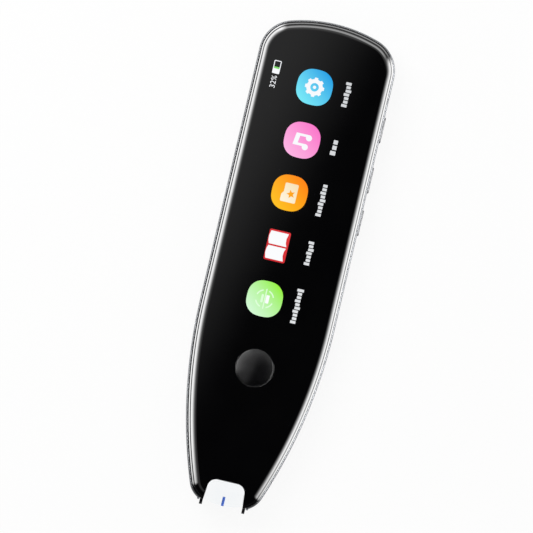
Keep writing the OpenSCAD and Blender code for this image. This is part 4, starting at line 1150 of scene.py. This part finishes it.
def build_lamp():
    """One soft lamp from the upper left, which gloss does not mirror."""
    lamp = bpy.data.lights.new("soft_lamp", "AREA")
    lamp.shape = "DISK"
    lamp.size = 0.6
    lamp.energy = 3.3
    key = placed("soft_lamp", lamp)
    key.location = (-0.35, 0.35, 0.6)
    key.rotation_euler = Vector(key.location).to_track_quat("Z", "Y").to_euler()
    key.visible_glossy = False
    key.visible_camera = False


def build_world():
    """A world that is plain for matt surfaces and a studio with light walls for gloss."""
    scene = bpy.context.scene
    scene.view_settings.view_transform = "Standard"
    world = bpy.data.worlds.new("studio")
    scene.world = world
    world.use_nodes = True
    world.cycles.sampling_method = "NONE"
    tree = world.node_tree
    tree.nodes.clear()

    def maths(operation, *values):
        return node(tree, "Math", dict(enumerate(values)), operation=operation).outputs[0]

    def times(first, *others):
        for other in others:
            first = maths("MULTIPLY", first, other)
        return first

    def fade(value, start, end):
        return node(tree, "MapRange", {"Value": value, "From Min": start, "From Max": end},
                    interpolation_type="SMOOTHSTEP").outputs["Result"]

    way = node(tree, "TexCoord").outputs["Generated"]
    parts = node(tree, "SeparateXYZ", {"Vector": way})
    x, y, z = (parts.outputs[k] for k in "XYZ")
    flat = maths("SQRT", maths("ADD", times(x, x), times(y, y)))
    flat = maths("MAXIMUM", flat, 0.001)
    along = maths("DIVIDE", y, flat)
    slope = maths("MULTIPLY_ADD", x, -1.0, times(y, 0.25))
    studio = times(fade(z, 0.75, 0.0), HORIZON)
    below = times(fade(z, 0.0, -0.1), maths("MULTIPLY_ADD", fade(along, -0.5, -0.1), BELOW_SIDE, BELOW_ALL))
    ceiling = times(fade(slope, -0.0027, 0.0143), fade(flat, 0.35, 0.2), fade(z, 0.0, 0.5), CEILING)
    lights = [below, ceiling]
    for azimuth, inner, outer, low0, low1, high0, high1, strength in WALLS:
        cx, cy = polar(1, azimuth)
        facing = maths("DIVIDE", maths("ADD", times(x, cx), times(y, cy)), flat)
        across = fade(facing, polar(1, outer)[0], polar(1, inner)[0])
        lights.append(times(across, fade(z, low0, low1), fade(z, high1, high0), strength))
    for light in lights:
        studio = maths("ADD", studio, light)

    path = node(tree, "LightPath").outputs
    through = path["Is Transmission Ray"]
    glossy = maths("GREATER_THAN", maths("SUBTRACT", path["Is Glossy Ray"], through), 0.5)
    seen = maths("MAXIMUM", path["Is Camera Ray"], through)
    plain = maths("MULTIPLY_ADD", seen, 1 - MATT_LIGHT, MATT_LIGHT)
    strength = maths("ADD", times(glossy, studio), times(maths("SUBTRACT", 1.0, glossy), plain))
    sky = node(tree, "Background", {"Color": (1, 1, 1, 1), "Strength": strength})
    node(tree, "OutputWorld", {"Surface": sky.outputs[0]})


# ---- operators and panel

class TRANSLATOR_OT_rear_shell(bpy.types.Operator):
    """Builds the rear cover with its scan channel, speaker holes, key slots and camera hole"""
    bl_idname = "translator.rear_shell"
    bl_label = "Rear cover"

    def execute(self, context):
        build_rear_cover()
        return {"FINISHED"}


class TRANSLATOR_OT_frame(bpy.types.Operator):
    """Builds the gloss frame between the rear cover and the glass"""
    bl_idname = "translator.frame"
    bl_label = "Frame"

    def execute(self, context):
        build_frame()
        return {"FINISHED"}


class TRANSLATOR_OT_glass(bpy.types.Operator):
    """Builds the cover glass"""
    bl_idname = "translator.glass"
    bl_label = "Cover glass"

    def execute(self, context):
        build_glass()
        return {"FINISHED"}


class TRANSLATOR_OT_picture(bpy.types.Operator):
    """Builds what the screen shows"""
    bl_idname = "translator.picture"
    bl_label = "Screen picture"

    def execute(self, context):
        build_picture()
        return {"FINISHED"}


class TRANSLATOR_OT_keys(bpy.types.Operator):
    """Builds the home key and the three side keys"""
    bl_idname = "translator.keys"
    bl_label = "Keys"

    def execute(self, context):
        build_home_key()
        build_side_keys()
        return {"FINISHED"}


class TRANSLATOR_OT_camera(bpy.types.Operator):
    """Builds the rear camera: ring, cover lens, barrel and inner lens"""
    bl_idname = "translator.camera"
    bl_label = "Camera"

    def execute(self, context):
        build_camera()
        return {"FINISHED"}


class TRANSLATOR_OT_tip(bpy.types.Operator):
    """Builds the clear guard, its blue mark and the trigger frame"""
    bl_idname = "translator.tip"
    bl_label = "Tip"

    def execute(self, context):
        build_guard()
        build_trigger()
        return {"FINISHED"}


class TRANSLATOR_OT_inner(bpy.types.Operator):
    """Builds the silicone dome and the spring, and gives the inner parts their materials"""
    bl_idname = "translator.inner"
    bl_label = "Inner parts"

    def execute(self, context):
        build_soft_parts()
        finish_inner()
        return {"FINISHED"}


class TRANSLATOR_OT_stage(bpy.types.Operator):
    """Sets up the floor, the light and the camera"""
    bl_idname = "translator.stage"
    bl_label = "Stage"

    def execute(self, context):
        build_camera_view()
        build_floor()
        build_lamp()
        build_world()
        return {"FINISHED"}


OPERATORS = (
    TRANSLATOR_OT_rear_shell, TRANSLATOR_OT_frame, TRANSLATOR_OT_glass, TRANSLATOR_OT_picture,
    TRANSLATOR_OT_keys, TRANSLATOR_OT_camera, TRANSLATOR_OT_tip, TRANSLATOR_OT_inner, TRANSLATOR_OT_stage,
)


class TRANSLATOR_PT_panel(bpy.types.Panel):
    """Lists the steps and the values"""
    bl_idname = "TRANSLATOR_PT_panel"
    bl_label = "Handheld translator"
    bl_space_type = "VIEW_3D"
    bl_region_type = "UI"
    bl_category = "Translator"

    def draw(self, context):
        for name in TranslatorSizes.__annotations__:
            self.layout.prop(context.scene.translator_sizes, name)
        self.layout.prop(context.scene.translator_colours, "floor")
        for step in OPERATORS:
            self.layout.operator(step.bl_idname)


CLASSES = (TranslatorSizes, TranslatorColours, *OPERATORS, TRANSLATOR_PT_panel)


def register():
    for item in CLASSES:
        bpy.utils.register_class(item)
    bpy.types.Scene.translator_sizes = bpy.props.PointerProperty(type=TranslatorSizes)
    bpy.types.Scene.translator_colours = bpy.props.PointerProperty(type=TranslatorColours)


def unregister():
    del bpy.types.Scene.translator_colours
    del bpy.types.Scene.translator_sizes
    for item in reversed(CLASSES):
        bpy.utils.unregister_class(item)


def main():
    register()
    for step in OPERATORS:
        getattr(bpy.ops.translator, step.bl_idname.split(".")[1])()


if __name__ == "__main__":
    main()
